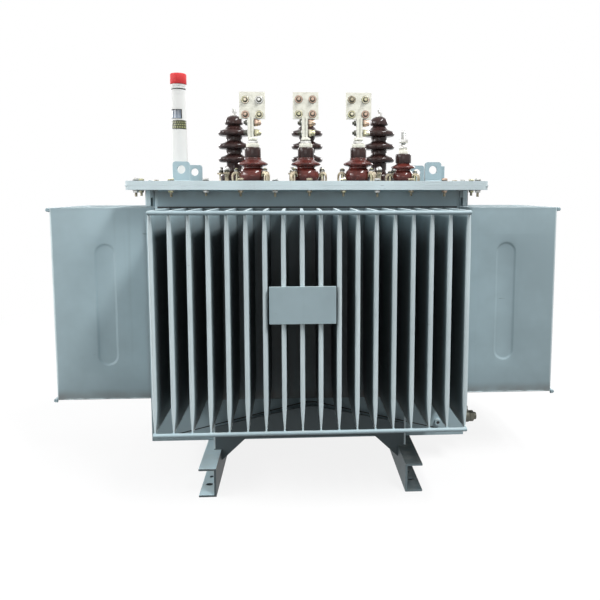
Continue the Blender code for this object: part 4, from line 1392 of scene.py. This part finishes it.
# Outline of a clamp's claw: how far out from its stud, and the share of its height.
CLAW_OUTSIDE = ((0.0150, 0.0), (0.0162, 0.24), (0.0155, 0.50), (0.0120, 0.68), (0.0050, 0.78),
                (-0.0030, 0.76), (-0.0082, 0.66), (-0.0108, 0.50), (-0.0112, 0.38))
CLAW_INSIDE = ((-0.0064, 0.37), (-0.0056, 0.50), (-0.0020, 0.59), (0.0040, 0.60), (0.0086, 0.52),
               (0.0112, 0.40), (0.0116, 0.22), (0.0106, 0.0))
# Its sections across, with what their outline shrinks by.
CLAW_SECTIONS = ((-0.0068, 0.0008), (-0.0058, 0.0), (0.0058, 0.0), (0.0068, 0.0008))


def build_clamp(shape, foot, reach, height, turn):
    """Arched claw that holds a porcelain foot down, on a stud with a nut and a washer."""
    angle = math.radians(turn)
    outward, across = spoke(angle), Vector((-math.sin(angle), math.cos(angle), 0))
    stud = foot + outward * reach
    rings = []
    for shift, shrink in CLAW_SECTIONS:
        points = []
        for out, rise in CLAW_OUTSIDE + CLAW_INSIDE:
            out -= math.copysign(shrink, out)
            points.append(stud + outward * out + Z_AXIS * rise * height + across * shift)
        rings.append(points)
    shape.loft(rings, cream_zinc())
    place = steel_frame(stud, Z_AXIS, angle)
    shape.thread(place, 0.0045, 0.0, height * 1.02, zinc(), steps=10)
    shape.washer(place, 0.0088, height * 0.78, height * 0.82, bright_zinc())
    shape.nut(place, 0.0080, height * 0.82, height * 0.96, brass())


class TRANSFORMER_OT_flag_terminals(OperatorBase, bpy.types.Operator):
    """Tinned flag terminals with their clamp bolts"""

    bl_idname = "transformer.flag_terminals"
    bl_label = "Flag terminals"

    stem_shifts = {"a": -0.004, "b": -0.002, "c": 0.004}
    bolt_drops = {"a": 0.0060, "b": 0.0034, "c": 0.0034}
    finishes = {
        "a": (copper, zinc, zinc, bright_zinc),
        "b": (zinc, copper, copper, copper),
        "c": (zinc, cream_zinc, copper, zinc),
    }
    collar_height = 0.0125
    cap_height = 0.0320
    flag_lift, flag_drop = 0.0045, 0.0020
    flag_thickness = 0.0060

    def build(self, sizes):
        for letter in PHASES:
            self.build_terminal("lv_terminal_" + letter, letter, sizes)

    def build_terminal(self, node, letter, sizes):
        """Collar, nut, clamping stem and flag of one terminal."""
        low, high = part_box(node)
        x, y = (low.x + high.x) / 2, (low.y + high.y) / 2
        flag = high.x - low.x
        flag_base = high.z - flag - self.flag_lift
        place = steel_frame((x, y, low.z), Z_AXIS)
        collar = self.collar_height
        shape = Shape()
        cap = [(0.0206, 0), (0.0210, 0.0012), (0.0210, collar - 0.0015), (0.0198, collar)]
        shape.turned(cap, place, tinned(), 40)
        shape.nut(place, 0.0172, collar, collar + 0.0090, bright_zinc())
        shape.washer(place, 0.0150, collar + 0.0090, self.cap_height, tinned())
        stem_x = x + self.stem_shifts[letter]
        self.build_stem(shape, stem_x, y, low.z + self.cap_height, flag_base)
        self.build_flag(shape, (x, y, flag), flag_base, high.z, sizes, letter)
        shape.make("flag_terminal_" + letter, "tinned", (node,), bevel=0.0006)

    def build_stem(self, shape, x, y, base, top):
        """Two clamping plates seen on edge, with two bolts across them."""
        deep, left, right, gap = 0.0095, 0.0105, 0.0085, 0.0008
        dome = [(0.0098, 0.0125), (0.0096, 0.0180), (0.0082, 0.0215), (0.0045, 0.0236),
                (0, 0.0240)]
        for start, end in ((-left, -gap), (gap, right)):
            shape.block((x + start, y - deep, base - 0.003), (x + end, y + deep, top + 0.004),
                        tinned())
        # Black sheet in the gap between the plates: painted shade of the gap.
        shape.block((x - 0.0009, y - deep + 0.0012, base), (x + 0.0009, y + deep, top), rubber())
        for rise, finish in ((0.26, zinc()), (0.80, copper())):
            level = base + rise * (top - base)
            bolt = steel_frame((x + right, y, level), X_AXIS, 0.3)
            back = steel_frame((x - left, y, level), -X_AXIS, 0.9)
            shape.washer(bolt, 0.0122, 0.0, 0.0018, brass())
            shape.nut(bolt, 0.0122, 0.0018, 0.0125, finish)
            shape.turned(dome, bolt, finish, 18)
            shape.washer(back, 0.0110, 0.0, 0.0018, bright_zinc())
            shape.nut(back, 0.0100, 0.0018, 0.0082, brass())
            shape.thread(back, 0.0052, 0.0082, 0.0135, brass(), steps=10)

    def build_flag(self, shape, spot, low, high, sizes, letter):
        """Upright plate with four bolts through it."""
        x, y, flag = spot
        behind = self.flag_thickness / 2
        half = flag / 2
        high -= self.flag_drop
        outline = [(-half, low), (half, low), (half, high), (-half, high)]
        sheet = Matrix(((1, 0, 0, x), (0, 0, -1, y), (0, 1, 0, 0), (0, 0, 0, 1)))
        shape.prism(outline, -behind, behind, sheet, tinned())
        middle = (low + high) / 2 - self.bolt_drops[letter]
        across, rise = sizes.flag_bolt_spacing / 2, sizes.flag_bolt_rise / 2
        corners = ((-across, -rise), (-across, rise), (across, -rise), (across, rise))
        for corner, (dx, dz) in enumerate(corners):
            finish = self.finishes[letter][corner]()
            front = steel_frame((x + dx, y - behind, middle + dz), -Y_AXIS, 0.7 * corner)
            rear = steel_frame((x + dx, y + behind, middle + dz), Y_AXIS, 0.4 * corner)
            # The two black washers are painted shade: the dark rings of contact shadow round each
            # bolt.
            shape.washer(front, 0.0128, 0.0, 0.0012, rubber())
            shape.washer(front, 0.0120, 0.0012, 0.0028, finish)
            shape.washer(front, 0.0086, 0.0028, 0.0034, rubber())
            shape.nut(front, 0.0080, 0.0034, 0.0092, brass())
            shape.thread(front, 0.0052, 0.0092, 0.0128, finish)
            shape.washer(rear, 0.0112, 0.0, 0.0016, zinc())
            shape.nut(rear, 0.0085, 0.0016, 0.0070, finish)


class TRANSFORMER_OT_neutral_stud(OperatorBase, bpy.types.Operator):
    """Threaded stud and nuts of the neutral bushing"""

    bl_idname = "transformer.neutral_stud"
    bl_label = "Neutral stud"

    def build(self, sizes):
        node = "lv_stud_n"
        low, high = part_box(node)
        center = (low + high) / 2
        place = upright(node)
        # The photographed stud ends lower than the CAD one.
        height = (high.z - low.z) * 0.82
        tip = height * 0.94
        shape = Shape()
        collar = [(0.0150, 0), (0.0152, 0.002), (0.0152, 0.0120), (0.0140, 0.0145)]
        shape.turned(collar, place, tinned(), 32)
        shape.thread(place, 0.0078, 0.0140, tip, bright_zinc(), 0.0030, 16)
        shape.turned([(0.0056, tip), (0.0048, height)], place, bright_zinc(), 16)
        for level, twist in ((0.0155, 0.2), (0.0360, 0.8)):
            turned = steel_frame((center.x, center.y, low.z + level), Z_AXIS, twist)
            shape.washer(turned, 0.0142, 0.0, 0.0020, tinned())
            shape.nut(turned, 0.0145, 0.0020, 0.0112, bright_zinc())
        shape.make("neutral_stud", "brass", (node,))


class TRANSFORMER_OT_high_bushings(OperatorBase, bpy.types.Operator):
    """High-voltage porcelains with holding posts and top studs"""

    bl_idname = "transformer.high_bushings"
    bl_label = "High-voltage bushings"

    post_turns = {"a": 246, "b": 258, "c": 264}
    post_reach = 0.0545
    shed_rises = (0.0806, 0.1262, 0.1718)
    waist, core = 0.0272, 0.0280
    foot = ((0.0480, 0.0015), (0.0495, 0.0040), (0.0495, 0.0225), (0.0484, 0.0262),
            (0.0446, 0.0286), (0.0368, 0.0312), (0.0305, 0.0350), (0.0276, 0.0405))
    # Radii, and heights above the middle of a shed.
    shed = ((0.0370, -0.0112), (0.0440, -0.0108), (0.0500, -0.0096), (0.0532, -0.0070),
            (0.0547, -0.0032), (0.0548, 0.0010), (0.0538, 0.0044), (0.0508, 0.0070),
            (0.0460, 0.0088), (0.0410, 0.0104), (0.0360, 0.0122), (0.0316, 0.0142))
    crown = ((0.0288, 0.1918), (0.0258, 0.1938), (0.0236, 0.1958), (0.0226, 0.1976),
             (0.0224, 0.1990), (0.0240, 0.1998), (0.0286, 0.2004), (0.0306, 0.2020),
             (0.0314, 0.2050), (0.0315, 0.2090), (0.0310, 0.2132), (0.0296, 0.2176),
             (0.0268, 0.2222), (0.0232, 0.2260), (0.0200, 0.2282), (0.0180, 0.2292),
             (0.0, 0.2300))

    def build(self, sizes):
        for letter in PHASES:
            self.build_bushing("hv_bushing_" + letter, self.post_turns[letter])
            self.build_stud("hv_stud_" + letter)

    def build_bushing(self, node, turn):
        """Porcelain with a gasket under it and four posts round its foot."""
        place = upright(node)
        shape = Shape()
        shape.turned(self.profile(), place, high_glaze(), 56)
        shape.washer(place, 0.0490, 0.0, 0.0026, rubber())
        for i in range(4):
            angle = math.radians(turn + 90 * i)
            at = place.to_translation() + spoke(angle) * self.post_reach
            self.build_post(shape, steel_frame(at, Z_AXIS, angle))
        shape.make("porcelain_" + node, "hv_porcelain", (node,), angle=60)

    def profile(self):
        """Foot flange, three thick undercut sheds and a mushroom crown on a short neck."""
        points = list(self.foot)
        below = self.waist
        for rise in self.shed_rises:
            points += [(below, rise - 0.0142), (below + 0.0010, rise - 0.0124),
                       (below + 0.0035, rise - 0.0114)]
            points += [(radius, rise + height) for radius, height in self.shed]
            below = self.core
            if rise < self.shed_rises[-1]:
                points += [(below + 0.0014, rise + 0.0158), (below, rise + 0.0174)]
        return points + list(self.crown)

    def build_post(self, shape, place):
        """Threaded post with its washer, cast sleeve, hooked claw and domed nut."""
        shape.washer(place, 0.0110, 0.0, 0.0022, bright_zinc())
        sleeve = [(0.0076, 0.0022), (0.0078, 0.0060), (0.0070, 0.0090), (0.0070, 0.0250),
                  (0.0086, 0.0270), (0.0086, 0.0340), (0.0076, 0.0350)]
        shape.turned(sleeve, place, cream_zinc(), 20)
        claw = [(-0.0130, -0.0060), (0.0, -0.0085), (0.0075, -0.0060), (0.0075, 0.0060),
                (0.0, 0.0085), (-0.0130, 0.0060)]
        shape.prism(claw, 0.0290, 0.0345, place, cream_zinc())
        shape.nut(place, 0.0092, 0.0350, 0.0430, brass())
        dome = [(0.0094, 0.0430), (0.0092, 0.0475), (0.0076, 0.0520), (0.0044, 0.0545),
                (0, 0.0550)]
        shape.turned(dome, place, bright_zinc(), 18)

    def build_stud(self, node):
        """Washer, two nuts, thread and a bare tip on top of the crown."""
        low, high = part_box(node)
        place = upright(node, 0.4)
        height = high.z - low.z
        thread_end = height * 0.66
        shape = Shape()
        shape.washer(place, 0.0150, 0.0, 0.0022, bright_zinc())
        shape.nut(place, 0.0118, 0.0022, 0.0095, bright_zinc())
        shape.nut(place @ Matrix.Rotation(0.5, 4, "Z"), 0.0104, 0.0100, 0.0160, bright_zinc())
        shape.thread(place, 0.0060, 0.0160, thread_end, bright_zinc())
        tip = [(0.0040, thread_end), (0.0038, height * 0.95), (0.0028, height)]
        shape.turned(tip, place, bright_zinc(), 12)
        shape.make("top_" + node, "brass", (node,))


class TRANSFORMER_OT_level_gauge(OperatorBase, bpy.types.Operator):
    """White oil level gauge with window, plain label and red cap"""

    bl_idname = "transformer.level_gauge"
    bl_label = "Oil level gauge"

    top_radius = 0.0215
    base_radius = 0.0262
    foot_height = 0.022
    screw_reach = 0.0282

    def build(self, sizes):
        low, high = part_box("gauge_tube")
        place = upright("gauge_tube")
        self.origin = place.to_translation()
        self.height = high.z - low.z
        white = plastic("gauge_white", palette().gauge_white, 0.24)
        foot = (high.x - low.x) / 2
        top = self.height
        shape = Shape()
        profile = [(foot - 0.0015, 0), (foot, 0.0015), (foot, 0.0070), (foot - 0.0012, 0.0085),
                   (0.0285, 0.0092), (0.0285, 0.0200), (0.0276, 0.0215)]
        levels = (0.0225, 0.08, 0.15, 0.20, 0.24, 0.28, 0.3020)
        profile += [(self.radius(level), level) for level in levels]
        profile += [(0.0224, 0.3062), (0.0236, 0.3066), (0.0238, 0.3080), (0.0238, top)]
        shape.turned(profile, place, white, 48)
        shape.washer(place, 0.0230, 0.3028, 0.3060, rubber())
        foot_top = Matrix.Translation(self.origin + Z_AXIS * 0.0080)
        shape.screws(foot_top, self.screw_reach, Z_AXIS, 0.0036)
        self.build_window(shape)
        self.build_label(shape)
        shape.make("level_gauge_tube", "gauge_white", ("gauge_tube",), angle=40)
        self.build_cap(white)

    def radius(self, level):
        """Radius of the tube, which narrows upwards."""
        share = (level - self.foot_height) / (self.height - self.foot_height)
        return self.base_radius + (self.top_radius - self.base_radius) * share

    def build_window(self, shape):
        """Sight glass in a dark frame that stands a little proud of the tube."""
        glass = finish_named("sight_glass", make_sight_glass, (0.20, 0.25, 0.32))
        low, high, left, right = 0.2078, 0.2382, -84, 31
        frame_proud = 0.0013
        self.wrap(shape, 0.0005, low, high, left, right, glass)
        self.wrap(shape, frame_proud, high - 0.0022, high, left, right, rubber())
        self.wrap(shape, 0.0010, low, low + 0.0010, left, right, rubber())
        self.wrap(shape, frame_proud, low, high, left - 3, left + 8, rubber())
        self.wrap(shape, frame_proud, low, high, right - 5, right + 2, rubber())

    def build_label(self, shape):
        """Plain olive band with bare graduation strokes."""
        olive = plastic("label_olive", (0.045, 0.048, 0.020), 0.30)
        pale = plastic("label_strokes", (0.36, 0.38, 0.17), 0.30)
        low, band_proud, stroke_proud = 0.1735, 0.0004, 0.0007
        self.wrap(shape, band_proud, low, low + 0.0290, -50, 88, olive)
        self.wrap(shape, band_proud, low + 0.0010, low + 0.0275, -78, -58, olive)
        strokes = ((0.0040, 0.0090, 0, 9), (0.0130, 0.0165, 5, 15), (0.0205, 0.0240, 0, 8))
        for i in range(7):
            turn = -44 + 18 * i
            for base, top, start, end in strokes:
                start, end = turn + start, turn + end
                self.wrap(shape, stroke_proud, low + base, low + top, start, end, pale)
        for i in range(4):
            rise = low + 0.0030 + 0.0065 * i
            self.wrap(shape, stroke_proud, rise, rise + 0.0030, -76, -66, pale)

    def wrap(self, shape, proud, low, high, start, end, material):
        """Curved patch on the tube; its angles are measured from the front, in degrees."""
        steps = max(2, int((end - start) / 7))
        rings = []
        for level in (low, high):
            radius = self.radius(level) + proud
            points = arc(self.origin, radius, start - 90, end - 90, steps)
            points += arc(self.origin, radius - 0.0022, end - 90, start - 90, steps)
            rings.append([Vector((x, y, self.origin.z + level)) for x, y in points])
        shape.loft(rings, material)

    def build_cap(self, white):
        """Red cap with a rounded rim on a white band."""
        low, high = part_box("gauge_cap")
        place = upright("gauge_cap")
        height = high.z - low.z
        radius = (high.x - low.x) / 2
        red = plastic("gauge_red", palette().gauge_red, 0.26)
        shape = Shape()
        band = [(0.0236, 0), (0.0240, 0.0010), (0.0240, 0.0085)]
        shape.turned(band, place, white, 48)
        crown = [(radius - 0.0008, 0.0085), (radius, 0.0096), (radius, height - 0.0045),
                 (radius - 0.0008, height - 0.0022), (radius - 0.0025, height - 0.0006),
                 (radius - 0.005, height)]
        shape.turned(crown, place, red, 56)
        shape.make("level_gauge_cap", "gauge_red", ("gauge_cap",), angle=40)


class TRANSFORMER_OT_nameplate_holder(OperatorBase, bpy.types.Operator):
    """Blank folded plate with rivets on the front fins"""

    bl_idname = "transformer.nameplate_holder"
    bl_label = "Nameplate holder"

    def build(self, sizes):
        dress_node("nameplate_holder", enamel(), PLATE_BEVEL)
        low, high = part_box("nameplate_holder")
        shape = Shape()
        margin, height = 0.010, 0.0020
        rivet = [(0.0030, 0), (0.0028, 0.0010), (0.0016, 0.0019), (0, height)]
        for x in (low.x + margin, high.x - margin):
            for z in (low.z + margin, high.z - margin):
                place = steel_frame((x, low.y + height, z), -Y_AXIS)
                shape.turned(rivet, place, enamel(), 14)
        shape.make("nameplate_rivets", "paint")


class TRANSFORMER_OT_drain_valve(OperatorBase, bpy.types.Operator):
    """Tarnished drain valve with a wide neck, square stem and hexagon cap"""

    bl_idname = "transformer.drain_valve"
    bl_label = "Drain valve"

    def build(self, sizes):
        low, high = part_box("drain_valve")
        radius = (high.y - low.y) / 2
        y = (low.y + high.y) / 2
        z = low.z + radius
        length = high.x - low.x
        cap_end = length - 0.008
        place = steel_frame((low.x, y, z), X_AXIS, 0.2)
        shape = Shape()
        shape.disc(place, radius, 0, 0.008, 0.001, enamel(), 36)
        shape.screws(place @ Matrix.Translation((0, 0, 0.008)), 0.0222, X_AXIS, 0.0040)
        neck = [(0.0185, 0.008), (0.0180, 0.012), (0.0175, 0.026), (0.0165, 0.030)]
        shape.turned(neck, place, brass(), 28)
        shape.nut(place, 0.0225, 0.030, 0.040, brass())
        body = [(0.0180, 0.040), (0.0200, 0.045), (0.0200, 0.056), (0.0180, 0.061)]
        shape.turned(body, place, brass(), 28)
        shape.nut(place, 0.0180, 0.061, cap_end, brass())
        end = [(0.0125, cap_end), (0.0120, length - 0.001), (0.0110, length)]
        shape.turned(end, place, brass(), 24)
        self.build_stem(shape, low.x + 0.0505, y, z, high.z)
        shape.make("drain_valve_body", "brass", ("drain_valve",))

    def build_stem(self, shape, x, y, base, top):
        """Upright stem with a square end for the key."""
        half, square = 0.0045, 0.014
        rise = top - base
        stem = [(0.0085, 0.012), (0.0085, rise - square), (0.0070, rise - 0.012)]
        shape.turned(stem, steel_frame((x, y, base), Z_AXIS), brass(), 20)
        shape.block((x - half, y - half, top - square), (x + half, y + half, top), brass())


class TRANSFORMER_PT_panel(bpy.types.Panel):
    """Builds the dressing piece by piece"""

    bl_idname = "TRANSFORMER_PT_panel"
    bl_label = "Transformer"
    bl_space_type = "VIEW_3D"
    bl_region_type = "UI"
    bl_category = "Transformer"

    def draw(self, context):
        for group in (context.scene.transformer_sizes, context.scene.transformer_colours):
            box = self.layout.box()
            for name in group.__annotations__:
                box.prop(group, name)
        for operator in OPERATORS:
            self.layout.operator(operator.bl_idname)


OPERATORS = (
    TRANSFORMER_OT_stage,
    TRANSFORMER_OT_steelwork,
    TRANSFORMER_OT_cooling_walls,
    TRANSFORMER_OT_tie_bars,
    TRANSFORMER_OT_cover_bolts,
    TRANSFORMER_OT_welds,
    TRANSFORMER_OT_wall_details,
    TRANSFORMER_OT_low_bushings,
    TRANSFORMER_OT_flag_terminals,
    TRANSFORMER_OT_neutral_stud,
    TRANSFORMER_OT_high_bushings,
    TRANSFORMER_OT_level_gauge,
    TRANSFORMER_OT_nameplate_holder,
    TRANSFORMER_OT_drain_valve,
)
CLASSES = (TransformerSizes, TransformerColours) + OPERATORS + (TRANSFORMER_PT_panel,)


def register():
    for cls in CLASSES:
        bpy.utils.register_class(cls)
    bpy.types.Scene.transformer_sizes = PointerProperty(type=TransformerSizes)
    bpy.types.Scene.transformer_colours = PointerProperty(type=TransformerColours)


def unregister():
    del bpy.types.Scene.transformer_colours
    del bpy.types.Scene.transformer_sizes
    for cls in reversed(CLASSES):
        bpy.utils.unregister_class(cls)


def main():
    register()
    for operator in OPERATORS:
        module, name = operator.bl_idname.split(".")
        getattr(getattr(bpy.ops, module), name)()


if __name__ == "__main__":
    main()
